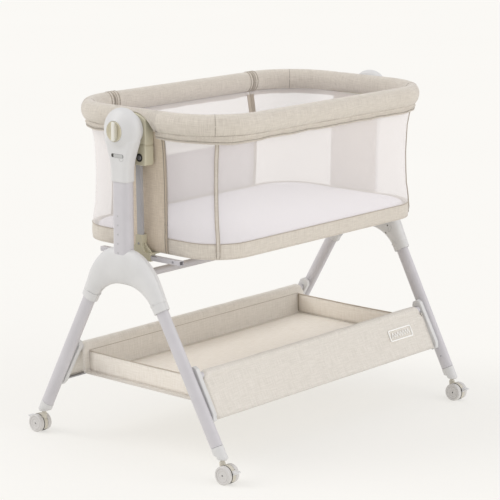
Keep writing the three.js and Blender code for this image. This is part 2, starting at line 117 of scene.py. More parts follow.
def tint(tree, shader, factor, dark, light, low=0.3, high=0.7):
    """Colours the surface between two hexes by a factor, spread over low to high."""
    ramp = add(tree, "ShaderNodeValToRGB", {"Fac": factor})
    ramp.color_ramp.elements[0].position, ramp.color_ramp.elements[1].position = low, high
    ramp.color_ramp.elements[0].color, ramp.color_ramp.elements[1].color = linear(dark), linear(light)
    tree.links.new(ramp.outputs["Color"], shader.inputs["Base Color"])


def relief(tree, shader, height, depth_mm):
    bump = add(tree, "ShaderNodeBump", {"Height": height, "Distance": depth_mm * MM})
    tree.links.new(bump.outputs["Normal"], shader.inputs["Normal"])


def coat(name, dark, light, roughness, grain_mm, depth_mm, **sockets):
    """A hard finish with a soft drift of tone, a fine grain, and a gloss that varies with it.
    The grain is drawn near its real size of half a millimetre to two millimetres."""
    material, tree, shader = start_material(name, **sockets)
    place = add(tree, "ShaderNodeTexCoord").outputs["Object"]
    drift = add(tree, "ShaderNodeTexNoise", {"Vector": place, "Scale": 22.0, "Detail": 3.0})
    grain = add(tree, "ShaderNodeTexNoise", {"Vector": place, "Scale": 1 / (grain_mm * MM), "Detail": 2.0})
    tint(tree, shader, drift.outputs["Fac"], dark, light)
    gloss = add(tree, "ShaderNodeMapRange", {"Value": grain.outputs["Fac"], "From Min": 0.3, "From Max": 0.7,
                                             "To Min": roughness - 0.06, "To Max": roughness + 0.06})
    tree.links.new(gloss.outputs["Result"], shader.inputs["Roughness"])
    relief(tree, shader, grain.outputs["Fac"], depth_mm)
    return material


def woven(name, dark, light, thread_mm, slub_mm, depth_mm, contrast=(0.32, 0.68), sheen=0.35):
    """Cloth whose threads run along its own UV map, in metres: a streak along each thread, where the yarn
    thickens, in both directions, and the over-and-under of the weave as relief."""
    material, tree, shader = start_material(name, Roughness=0.92)
    shader.inputs["Specular IOR Level"].default_value = 0.25
    shader.inputs["Sheen Weight"].default_value = sheen
    shader.inputs["Sheen Roughness"].default_value = 0.5
    place = add(tree, "ShaderNodeUVMap", uv_map="cloth").outputs["UV"]
    across, along = 1 / (thread_mm * MM), 1 / (slub_mm * MM)
    streaks = []
    for scale in ((along, across, 1.0), (across, along, 1.0)):
        stretch = add(tree, "ShaderNodeMapping", {"Vector": place, "Scale": scale})
        streaks.append(add(tree, "ShaderNodeTexNoise", {"Vector": stretch.outputs["Vector"], "Scale": 1.0,
                                                        "Detail": 2.0, "Roughness": 0.6}).outputs["Fac"])
    threads = add(tree, "ShaderNodeMath", {0: streaks[0], 1: streaks[1]}, operation="ADD")
    half = add(tree, "ShaderNodeMath", {0: threads.outputs[0], 1: 0.5}, operation="MULTIPLY")
    tint(tree, shader, half.outputs[0], dark, light, *contrast)
    checks = []
    for direction in ("X", "Y"):
        checks.append(add(tree, "ShaderNodeTexWave", {"Vector": place, "Scale": across / 6.283 * 3.14159},
                          bands_direction=direction, wave_profile="SIN").outputs["Fac"])
    weave = add(tree, "ShaderNodeMath", {0: checks[0], 1: checks[1]}, operation="MULTIPLY")
    height = add(tree, "ShaderNodeMath", {0: weave.outputs[0], 1: threads.outputs[0]}, operation="ADD")
    relief(tree, shader, height.outputs[0], depth_mm)
    return material


def netting(name, colour, low_alpha, high_alpha, mesh_mm):
    """Knitted polyester net: a veil whose six-sided holes are drawn 2 mm apart, coarser than real."""
    material, tree, shader = start_material(name, Roughness=0.85)
    shader.inputs["Base Color"].default_value = linear(colour)
    shader.inputs["Sheen Weight"].default_value = 0.3
    shader.inputs["Specular IOR Level"].default_value = 0.2
    place = add(tree, "ShaderNodeUVMap", uv_map="cloth").outputs["UV"]
    cells = add(tree, "ShaderNodeTexVoronoi", {"Vector": place, "Scale": 1 / (mesh_mm * MM), "Randomness": 0.25},
                feature="DISTANCE_TO_EDGE", voronoi_dimensions="2D")
    veil = add(tree, "ShaderNodeMapRange", {"Value": cells.outputs["Distance"], "From Min": 0.05, "From Max": 0.4,
                                            "To Min": high_alpha, "To Max": low_alpha})
    tree.links.new(veil.outputs["Result"], shader.inputs["Alpha"])
    return material


# Powder-coated steel: a hard satin skin with a faint orange peel and a cool lilac cast.
POWDER_COAT = coat("white_powder_coated_steel", "c4c1c4", "cac7ca", 0.36, 1.6, 0.015)
# Moulded ABS: satin, very slightly warm, with the fine spark texture of the mould; ivory for the knobs, beige for
# the fittings of the tub.
WHITE_ABS = coat("white_moulded_abs", "d1d0cf", "d7d6d5", 0.44, 0.9, 0.02)
IVORY_ABS = coat("ivory_moulded_abs", "d6cfb8", "dcd6c2", 0.46, 0.9, 0.02)
HOOD_ABS = coat("cream_moulded_abs", "c8c2b4", "cfcabd", 0.45, 0.9, 0.02)
# A paler copy of the knob's ivory for its grip rib: painted highlight on the raised rib.
RIB_PAINTED_HIGHLIGHT_ABS = coat("knob_abs_painted_highlight", "dedcd2", "e4e2d9", 0.46, 0.9, 0.02)
BEIGE_ABS = coat("beige_moulded_abs", "c2bca4", "c9c3ac", 0.45, 0.9, 0.02)
# Moulded polypropylene, for the wheels: a touch glossier and warmer than the ABS.
WHEEL_PP = coat("white_polypropylene", "cbc8c5", "d1cecb", 0.40, 1.1, 0.02)
# ABS coloured through in grey for the slides. The same grey is painted shade inside the height holes and along
# moulded recess lines, and the near-black is painted shade for slots, wells, dimples, sunk screw pockets and the gaps
# between parts.
GREY_ABS_AND_PAINTED_SHADE = coat("grey_abs_and_painted_shade", "b3b3b1", "bbbbb9", 0.45, 0.9, 0.02)
PAINTED_SHADE_ABS = coat("near_black_painted_shade", "35332f", "403d38", 0.5, 0.9, 0.02)
# Grey stoved paint on flat steel: duller and cooler than the powder coat.
STRUT_PAINT = coat("grey_painted_steel", "aaa9ab", "b2b1b3", 0.42, 1.4, 0.015)
# Zinc plating: bright, cool and slightly cloudy.
ZINC = coat("zinc_plated_steel", "9c9ca0", "b4b4b8", 0.34, 2.2, 0.01, Metallic=1.0)
# Linen-look polyester: pale warm beige with darker slubs along both thread directions. The thread is drawn
# 1.9 mm wide, three times its real width, so that it shows.
LINEN = woven("linen_look_polyester", "c6bdb1", "e1d9cd", 1.9, 26.0, 0.25)
# The end panels and the basket are the same cloth in copies matched one to one: warmer for the end panels and paler
# for the basket's sling, outside and inside. The basket's end walls and floor board are the palest copy, painted light
# that makes up for the shade there, where little light reaches.
LINEN_WARM = woven("linen_look_end_panel", "cfc0ac", "e8dac7", 1.9, 26.0, 0.25)
LINEN_PALE = woven("linen_look_basket", "d4cec4", "e9e3db", 2.1, 30.0, 0.25)
LINEN_PAINTED_LIGHT = woven("linen_look_basket_painted_light", "ece4d8", "fdf7ee", 2.1, 30.0, 0.25)
# Corded seams, tapes and bindings: tightly woven polyester, darker than the linen. The seam cord and the edge binding
# are darker copies of the tape: painted shade in the grooves at seams and along the edges of piping and bindings, so
# that edges read as lines.
SEAM_PAINTED_SHADE = woven("seam_cord_painted_shade", "877b6d", "9c9083", 1.3, 6.0, 0.2, (0.25, 0.75))
TAPE = woven("polyester_tape", "b8ab9b", "cabfb0", 1.3, 6.0, 0.2, (0.25, 0.75))
SHADE_TAPE = woven("edge_binding_painted_shade", "a39788", "b8ac9d", 1.3, 6.0, 0.2, (0.25, 0.75))
# Embroidery thread: smooth, white and slightly raised.
PALE_THREAD = coat("white_embroidery_thread", "fbfaf7", "fefdfb", 0.6, 0.6, 0.03)
# Cotton jersey: fine and soft, nearly white with a cool cast, with almost no pattern.
JERSEY = woven("cotton_jersey", "e6e4ec", "eeecf4", 1.5, 7.0, 0.12, (0.2, 0.8), 0.2)
# Knitted net: a warm white veil that greys what stands behind it, and a closer, greyer one as lining.
NET = netting("polyester_net", "ece7e5", 0.40, 0.64, 2.0)
LINING = netting("grey_lining_net", "c8c1c2", 0.80, 0.95, 2.0)


# ---- shaping -------------------------------------------------------------------------------
def loft(rings, closed=True, cap_start=False, cap_end=False):
    """A skin drawn through rings of points by extruding the first ring's edges from one to the next, with a
    UV map in metres: x along the rings and y around them."""
    bm = bmesh.new()
    row = bm.verts.layers.int.new("row")
    col = bm.verts.layers.int.new("col")
    count = len(rings[0])
    ring = [bm.verts.new(p) for p in rings[0]]
    for i, v in enumerate(ring):
        v[col] = i
    edges = [bm.edges.new((ring[i], ring[(i + 1) % count])) for i in range(count if closed else count - 1)]
    if cap_start:
        bm.faces.new(ring)
    for k, points in enumerate(rings[1:], 1):
        made = bmesh.ops.extrude_edge_only(bm, edges=edges)["geom"]
        fresh = {g for g in made if isinstance(g, bmesh.types.BMVert)}
        edges = [g for g in made if isinstance(g, bmesh.types.BMEdge)]
        following = []
        for v in ring:
            nxt = next(e.other_vert(v) for e in v.link_edges if e.other_vert(v) in fresh)
            nxt.co = points[v[col]]
            nxt[row], nxt[col] = k, v[col]
            following.append(nxt)
        ring = following
    if cap_end:
        bm.faces.new(ring)
    uv = bm.loops.layers.uv.new("cloth")
    length = [0.0]
    for a, b in zip(rings, rings[1:]):
        step = sum((Vector(p) - Vector(q)).length for p, q in zip(a[::max(1, count // 8)], b[::max(1, count // 8)]))
        length.append(length[-1] + step / len(a[::max(1, count // 8)]))
    middle = rings[len(rings) // 2]
    girth = [0.0]
    for i in range(count):
        girth.append(girth[-1] + (Vector(middle[(i + 1) % count]) - Vector(middle[i])).length)
    for f in bm.faces:
        wraps = max(l.vert[col] for l in f.loops) - min(l.vert[col] for l in f.loops) > 1 and len(f.loops) == 4
        for l in f.loops:
            i = count if wraps and l.vert[col] == 0 else l.vert[col]
            l[uv].uv = (length[l.vert[row]] * MM, girth[i] * MM)
    bmesh.ops.recalc_face_normals(bm, faces=bm.faces)
    return bm


def piece(name, bm, material, body, replaces=(), flip=(1, 1), sharp=38):
    """Finishes a mesh in millimetres as a piece that rides on a body. flip mirrors it in X and in Y."""
    bmesh.ops.scale(bm, vec=Vector((flip[0] * MM, flip[1] * MM, MM)), verts=bm.verts)
    if flip[0] * flip[1] < 0:
        bmesh.ops.reverse_faces(bm, faces=bm.faces)
    for e in bm.edges:
        e.smooth = len(e.link_faces) != 2 or e.calc_face_angle(0) < math.radians(sharp)
    for f in bm.faces:
        f.smooth = True
    mesh = bpy.data.meshes.new(name)
    bm.to_mesh(mesh)
    bm.free()
    made = bpy.data.objects.new(name, mesh)
    bpy.context.scene.collection.objects.link(made)
    mesh.materials.append(material)
    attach(made, body)
    if replaces:
        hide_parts(*replaces)
    if sharp <= 60:
        made.modifiers.new("even_shading", "WEIGHTED_NORMAL").keep_sharp = True
    return made


def sewn(name, bm, material, body, replaces=(), flip=(1, 1), sharp=80):
    """A piece of cloth, tape, piping or sewn seam."""
    return piece(name, bm, material, body, replaces, flip, sharp)


def modify(made, kind, **settings):
    """Adds a modifier and works it into the mesh."""
    modifier = made.modifiers.new(kind.lower(), kind)
    for key, value in settings.items():
        setattr(modifier, key, value)
    depsgraph = bpy.context.evaluated_depsgraph_get()
    old = made.data
    made.data = bpy.data.meshes.new_from_object(made.evaluated_get(depsgraph), depsgraph=depsgraph)
    made.modifiers.clear()
    made.data.name = made.name
    bpy.data.meshes.remove(old)
    return made


def oval(x, y, a, b, z, count=40, power=1.0):
    """Level ring, a long in X and b in Y; a power under 1 squares it off."""
    def side(v):
        return math.copysign(abs(v) ** power, v)
    return [Vector((x + a / 2 * side(math.cos(math.tau * i / count)),
                    y + b / 2 * side(math.sin(math.tau * i / count)), z)) for i in range(count)]


def rounded(x, y, a, b, r, z, steps=8):
    """Level ring of a rectangle with round corners."""
    out = []
    for sx, sy, start in ((1, 1, 0), (-1, 1, 90), (-1, -1, 180), (1, -1, 270)):
        for k in range(steps + 1):
            t = math.radians(start + 90 * k / steps)
            out.append(Vector((x + sx * (a / 2 - r) + r * math.cos(t), y + sy * (b / 2 - r) + r * math.sin(t), z)))
    return out


def tube(points, radius, count=20):
    """Round bar or tube along points, with rounded ends."""
    points = [Vector(p) for p in points]
    rings = []
    for k, p in enumerate(points):
        ahead = (points[min(k + 1, len(points) - 1)] - points[max(k - 1, 0)]).normalized()
        side = ahead.cross(Vector((0, 0, 1)))
        side = side.normalized() if side.length > 1e-3 else Vector((1, 0, 0))
        up = side.cross(ahead)
        rings.append([p + radius * (math.cos(math.tau * i / count) * side + math.sin(math.tau * i / count) * up)
                      for i in range(count)])
    lip = min(radius * 0.25, 1.0)
    for where, way in ((0, -1), (-1, 1)):
        ahead = (points[where] - points[1 if where == 0 else -2]).normalized()
        small = [points[where] + (v - points[where]) * (1 - lip / radius) + ahead * lip * 0.6 for v in rings[where]]
        rings = [small] + rings if where == 0 else rings + [small]
    return loft(rings, cap_start=True, cap_end=True)


def block(x0, x1, y0, y1, z0, z1, bevel=1.0, segments=3):
    bm = bmesh.new()
    bmesh.ops.create_cube(bm, size=1.0)
    bmesh.ops.scale(bm, vec=(x1 - x0, y1 - y0, z1 - z0), verts=bm.verts)
    bmesh.ops.translate(bm, vec=((x0 + x1) / 2, (y0 + y1) / 2, (z0 + z1) / 2), verts=bm.verts)
    bmesh.ops.bevel(bm, geom=bm.edges[:], offset=bevel, segments=segments, profile=0.5, affect="EDGES", material=-1)
    return bm


def slab(outline, x0, x1, bevel=1.0, segments=3, corner=0.0):
    """Plate whose outline lies in Y and Z, from x0 to x1, with rounded rims."""
    bm = bmesh.new()
    face = bm.faces.new([bm.verts.new((x0, y, z)) for y, z in outline])
    made = bmesh.ops.extrude_face_region(bm, geom=[face])["geom"]
    bmesh.ops.translate(bm, vec=(x1 - x0, 0, 0), verts=[g for g in made if isinstance(g, bmesh.types.BMVert)])
    bmesh.ops.recalc_face_normals(bm, faces=bm.faces)
    if corner:
        upright = [e for e in bm.edges if abs(e.verts[0].co.x - e.verts[1].co.x) > 0.1
                   and e.calc_face_angle(0) > 0.5]
        bmesh.ops.bevel(bm, geom=upright, offset=corner, segments=6, profile=0.5, affect="EDGES", material=-1)
    rims = [e for e in bm.edges if abs(e.verts[0].co.x - e.verts[1].co.x) < 1e-4]
    bmesh.ops.bevel(bm, geom=rims, offset=bevel, segments=segments, profile=0.5, affect="EDGES", material=-1)
    return bm


def lathe(profile, x, y, z, steps=48):
    """Turns (radius, height) points about an axis along X through (x, y, z); heights go along +X."""
    bm = bmesh.new()
    verts = [bm.verts.new((h, 0, r)) for r, h in profile]
    for a, b in zip(verts, verts[1:]):
        bm.edges.new((a, b))
    bmesh.ops.spin(bm, geom=bm.verts[:] + bm.edges[:], cent=(0, 0, 0), axis=(1, 0, 0), angle=math.tau,
                   steps=steps, use_merge=True)
    bmesh.ops.remove_doubles(bm, verts=bm.verts, dist=1e-4)
    bmesh.ops.recalc_face_normals(bm, faces=bm.faces)
    bmesh.ops.translate(bm, vec=(x, y, z), verts=bm.verts)
    return bm


def turned(bm, pivot, axis, angle):
    bmesh.ops.rotate(bm, cent=pivot, matrix=Matrix.Rotation(angle, 3, axis), verts=bm.verts)
    return bm


def merged(*parts):
    """Several meshes as one."""
    whole = bmesh.new()
    for part in parts:
        scrap = bpy.data.meshes.new("scrap")
        part.to_mesh(scrap)
        part.free()
        whole.from_mesh(scrap)
        bpy.data.meshes.remove(scrap)
    return whole


def softened(node, width=0.8, segments=2):
    """A copy of a frame node's shape with its flat faces joined and its edges rounded, in millimetres."""
    bm = bmesh.new()
    bm.from_mesh(frame["nodes"][node].data)
    bmesh.ops.scale(bm, vec=(1 / MM,) * 3, verts=bm.verts)
    bmesh.ops.remove_doubles(bm, verts=bm.verts, dist=0.01)
    bmesh.ops.dissolve_limit(bm, angle_limit=math.radians(3), verts=bm.verts, edges=bm.edges)
    edges = [e for e in bm.edges if len(e.link_faces) == 2 and e.calc_face_angle(0) > math.radians(32)]
    bmesh.ops.bevel(bm, geom=edges, offset=width, segments=segments, profile=0.5, affect="EDGES", material=-1,
                    clamp_overlap=True)
    return bm


def screw(radius, x, y, z, way, depth=1.2):
    """Domed screw head with a round recess in its crown; way is the direction that it faces."""
    head = lathe([(0, depth * 0.55), (radius * 0.35, depth * 0.55), (radius * 0.4, depth), (radius * 0.8, depth * 0.85),
                  (radius, depth * 0.3), (radius, -1.0), (0, -1.0)], 0, 0, 0, 20)
    way = Vector(way).normalized()
    spin = Vector((1, 0, 0)).rotation_difference(way).to_matrix()
    bmesh.ops.rotate(head, cent=(0, 0, 0), matrix=spin, verts=head.verts)
    bmesh.ops.translate(head, vec=(x, y, z), verts=head.verts)
    return head


# ---- camera, light and floor --------------------------------------------------------------------
def set_up_studio():
    camera = bpy.data.objects.new("camera", bpy.data.cameras.new("camera"))
    bpy.context.scene.collection.objects.link(camera)
    camera.data.sensor_width, camera.data.lens = 36.0, 146.4
    camera.data.clip_start, camera.data.clip_end = 0.1, 200.0
    right, up = Vector((0.6534, -0.7570, 0.0031)), Vector((0.1587, 0.1409, 0.9772))
    back = right.cross(up).normalized()
    up = back.cross(right).normalized()
    turn = Matrix((right.normalized(), up, back)).transposed().to_4x4()
    camera.matrix_world = Matrix.Translation((-3.4626, -2.9714, 1.384)) @ turn
    bpy.context.scene.camera = camera

    floor = bmesh.new()
    bmesh.ops.create_circle(floor, cap_ends=True, segments=64, radius=60.0)
    mesh = bpy.data.meshes.new("floor")
    floor.to_mesh(mesh)
    floor.free()
    ground = bpy.data.objects.new("floor", mesh)
    bpy.context.scene.collection.objects.link(ground)
    # A light-table floor: half painted, half glowing, so that shadows stay pale.
    material, tree, shader = start_material("studio_floor_paint", Roughness=1.0)
    shader.inputs["Specular IOR Level"].default_value = 0.0
    shader.inputs["Emission Color"].default_value = linear("fffdf8")
    shader.inputs["Emission Strength"].default_value = 0.588
    place = add(tree, "ShaderNodeTexCoord").outputs["Object"]
    drift = add(tree, "ShaderNodeTexNoise", {"Vector": place, "Scale": 0.8})
    tint(tree, shader, drift.outputs["Fac"], "9e9d9b", "9f9e9c")
    mesh.materials.append(material)

    world = bpy.data.worlds.new("studio")
    bpy.context.scene.world = world
    world.use_nodes = True
    sky = world.node_tree.nodes["Background"]
    sky.inputs["Color"].default_value = linear("fdfdff")
    sky.inputs["Strength"].default_value = 0.80
    for name, turn, power, spread, tone in (("left_box", (50, 0, -142), 1.00, 35, "fffefc"),
                                            ("right_box", (68, 0, 16), 0.82, 50, "fffefc")):
        lamp = bpy.data.lights.new(name, "SUN")
        lamp.energy, lamp.angle, lamp.color = power, math.radians(spread), linear(tone)[:3]
        source = bpy.data.objects.new(name, lamp)
        source.rotation_euler = [math.radians(a) for a in turn]
        bpy.context.scene.collection.objects.link(source)
    bpy.context.scene.view_settings.view_transform = "Standard"


set_up_studio()


# ---- legs, plugs and hubs -------------------------------------------------------------------------
def leg_ring(d, a, b, count=36):
    """Oval ring square to the rear right leg's axis, d from the apex."""
    out = []
    for i in range(count):
        t = math.tau * i / count
        q = a / 2 * math.cos(t)
        z = APEX_Z + d * LEG_Z + q * LEG_Y
        out.append(Vector((APEX_X + b / 2 * math.sin(t) + LEAN * (z - APEX_Z), d * LEG_Y - q * LEG_Z, z)))
    return out


def foot_ring(rx, ry, z, count=36):
    centre = FOOT_X + LEAN * (z - FOOT_Z)
    return [Vector((centre + rx * math.sin(math.tau * i / count), FOOT_Y + ry * math.cos(math.tau * i / count), z))
            for i in range(count)]


def make_legs():
    end = LEG_LEN - 30.3
    for side, e in SIDES.items():
        for tip, s in ENDS.items():
            i = f"{side}_{tip}"
            stations = [(0.32 * LEG_LEN, 0), (0.36 * LEG_LEN, 0), (0.7 * LEG_LEN, 0), (end - 0.6, 0), (end, -0.8)]
            rings = [leg_ring(d, 30 + g, 24 + g) for d, g in stations]
            rings += [leg_ring(end, 26.8, 20.8), leg_ring(0.32 * LEG_LEN, 26.8, 20.8), leg_ring(0.32 * LEG_LEN, 30, 24)]
            bm = loft(rings)
            bmesh.ops.remove_doubles(bm, verts=bm.verts, dist=0.001)
            piece(f"painted_leg_{i}", bm, POWDER_COAT, "stand", [f"leg_{i}"], (s, e))
            top = LEG_LEN - 30
            rings = [leg_ring(top, 28.6, 22.6), leg_ring(top + 0.5, 30.2, 24.2), leg_ring(top + 1.2, 30.8, 24.8),
                     leg_ring(top + 9, 30.8, 24.8), leg_ring(top + 14, 30.4, 24.4)]
            rings += [foot_ring(11.9, 12.8, 55.5), foot_ring(11.4, 12.2, 52.6), foot_ring(10.5, 11.0, 50.8),
                      foot_ring(8.5, 8.8, 50.2)]
            piece(f"moulded_foot_{i}", loft(rings, cap_start=True, cap_end=True), WHITE_ABS, "stand",
                  [f"foot_plug_{i}"], (s, e), sharp=60)


def smooth_line(points, per=5):
    """Catmull-Rom curve through points."""
    points = [Vector(p) for p in points]
    out = []
    for k in range(len(points) - 1):
        a, b, c, d = (points[max(k - 1, 0)], points[k], points[k + 1], points[min(k + 2, len(points) - 1)])
        for j in range(per):
            t = j / per
            out.append(0.5 * (2 * b + (c - a) * t + (2 * a - 5 * b + 4 * c - d) * t * t
                              + (3 * b - a - 3 * c + d) * t ** 3))
    return out + [points[-1]]


def make_hubs():
    outer = smooth_line([(0, 468, 0), (22, 467, 0), (44, 461, 0), (64, 448.5, 0), (81, 432, 0), (96, 411, 0),
                         (108.5, 385, 0), (117.5, 367.5, 0), (125.5, 352.3, 0)], 4)
    inner = smooth_line([(0, 387, 0), (13, 386.6, 0), (26, 385, 0), (40, 381, 0), (55, 374, 0), (68, 364.6, 0),
                         (78, 354.5, 0), (85, 344, 0), (90.5, 332.9, 0)], 4)
    half = list(zip(outer, inner))
    both = [(Vector((-o.x, o.y, 0)), Vector((-i.x, i.y, 0))) for o, i in reversed(half)] + half[1:]

    def ring(o, i, grow, along=0.0, count=44):
        """Rounded section between an outer and an inner point; along shifts it down the leg."""
        centre, reach = (o + i) / 2, (o - i) / 2
        down = Vector((-reach.y, reach.x, 0)).normalized()
        if down.y > 0:
            down = -down
        centre = centre + down * along
        out = []
        for k in range(count):
            t = math.tau * k / count
            c, s = math.cos(t), math.sin(t)
            c, s = math.copysign(abs(c) ** 0.93, c), math.copysign(abs(s) ** 0.93, s)
            p = centre + reach * (1 + grow / reach.length) * c
            w = 14.8 + 4.7 * min(max((p.y - 345) / 90, 0), 1) + grow
            out.append(Vector((APEX_X + w * s + LEAN * (p.y - APEX_Z), p.x, p.y)))
        return out

    lip = [(-3.0, 0.0), (-1.0, 0.0), (-0.3, -0.5), (0, -1.4), (0, -17.6), (-0.45, -17.9), (-0.45, -18.4), (0, -18.7)]
    rings = [ring(*both[0], grow, along) for grow, along in lip]
    rings += [ring(o, i, 0) for o, i in both[5:-5]]
    tail = [ring(*both[-1], grow, along) for grow, along in reversed(lip)]
    whole = loft(rings + tail)
    for tip, s in ENDS.items():
        for part, way in (("outer", 1), ("inner", -1)):
            bm = whole.copy()
            bmesh.ops.bisect_plane(bm, geom=bm.verts[:] + bm.edges[:] + bm.faces[:], clear_outer=True,
                                   plane_co=(POST_X + way * 0.06, 0, 0), plane_no=(-way, 0, 0))
            made = piece(f"hub_{part}_half_{tip}", bm, WHITE_ABS, "stand", [f"arch_{part}_{tip}"],
                         (s, 1), sharp=50)
            modify(made, "SOLIDIFY", thickness=2.4 * MM, offset=-1.0, use_even_offset=False)
            made.modifiers.new("even_shading", "WEIGHTED_NORMAL").keep_sharp = True
    # Sunk screws and a moulded oval on the inner faces of the front legs' sockets: the screws are near-black discs,
    # painted shade in their pockets, and the oval is a grey line, painted shade along its edge.
    skin = BVHTree.FromBMesh(whole)

    def inner_face(y, z):
        return skin.ray_cast(Vector((300, y, z)), Vector((1, 0, 0)))[0] or Vector((POST_X - 8, y, z))

    for tip, s in ENDS.items():
        for side, e in SIDES.items():
            screws = []
            for y, z, r in ((82, 410, 2.4), (74, 398.5, 1.9), (67, 379, 2.1)):
                p = inner_face(y, z)
                screws.append(lathe([(0, -0.4), (r * 0.6, -0.5), (r, -0.2), (r, 2), (0, 2)], p.x, p.y, p.z, 20))
            turns = [math.tau * k / 24 for k in range(25)]
            line = [inner_face(80.5 + 3.78 * math.cos(t) + 3 * math.sin(t), 391 + 7.65 * math.sin(t))
                    - Vector((0.1, 0, 0)) for t in turns]
            i = f"{side}_{tip}"
            piece(f"socket_screws_{i}", merged(*screws), PAINTED_SHADE_ABS, "stand", (), (s, e))
            piece(f"socket_oval_{i}", tube(line, 0.4, 8), GREY_ABS_AND_PAINTED_SHADE, "stand", (), (s, e))
    whole.free()


def make_posts_and_bars():
    for tip, s in ENDS.items():
        low, high = POST_LOW.z, POST_HIGH.z
        rings = [rounded(POST_X, 0, 25, 41, 10.6, low), rounded(POST_X, 0, 28.6, 44.6, 12.4, low),
                 rounded(POST_X, 0, 30, 46, 13, low + 0.9), rounded(POST_X, 0, 30, 46, 13, high),
                 rounded(POST_X, 0, 26, 42, 11, high), rounded(POST_X, 0, 26, 42, 11, low + 1),
                 rounded(POST_X, 0, 25, 41, 10.6, low)]
        bm = loft(rings)
        bmesh.ops.remove_doubles(bm, verts=bm.verts, dist=0.001)
        piece(f"telescopic_post_{tip}", bm, POWDER_COAT, f"head_{tip}", [f"outer_post_{tip}"], (s, 1))
        face = POST_X + 15
        heights = [HOLE_LOW + HOLE_PITCH * k for k in range(HOLES)]
        # Grey floors in the height holes: painted shade inside each hole.
        holes = [lathe([(0, 0.2), (1.5, 0.2), (1.8, 0.05), (1.9, -0.4), (0, -0.4)], face, 3, z, 20) for z in heights]
        piece(f"height_holes_{tip}", merged(*holes), GREY_ABS_AND_PAINTED_SHADE, f"head_{tip}", (), (s, 1))
        rims = [lathe([(2.0, -0.3), (2.0, 0.25), (2.6, 0.2), (2.9, -0.3), (2.0, -0.3)], face, 3, z, 20)
                for z in heights]
        piece(f"height_hole_rims_{tip}", merged(*rims), POWDER_COAT, f"head_{tip}", (), (s, 1))
    bar = node_box("cross_bar")[1]
    z, r = 400.0, 8.3
    piece("round_cross_bar", tube([(-bar.x + 1, 0, z), (0, 0, z), (bar.x - 1, 0, z)], r, 28), POWDER_COAT, "stand",
          ["cross_bar"])
    for side, e in SIDES.items():
        x = BRAIL_HIGH.x
        piece(f"basket_tube_{side}", tube([(-x + 1, e * BRAIL_Y, BRAIL_Z), (x - 1, e * BRAIL_Y, BRAIL_Z)], 8, 24),
              POWDER_COAT, "stand", [f"basket_rail_{side}"])
        x = ROD_HIGH.x
        piece(f"basket_rod_{side}", tube([(-x + 1, e * ROD_Y, ROD_Z), (x - 1, e * ROD_Y, ROD_Z)], 3, 14),
              ZINC, "stand", [f"flap_rod_{side}"])


# ---- heads ------------------------------------------------------------------------------------------
BOWL_R, NECK_Z = 22.4, 611.0


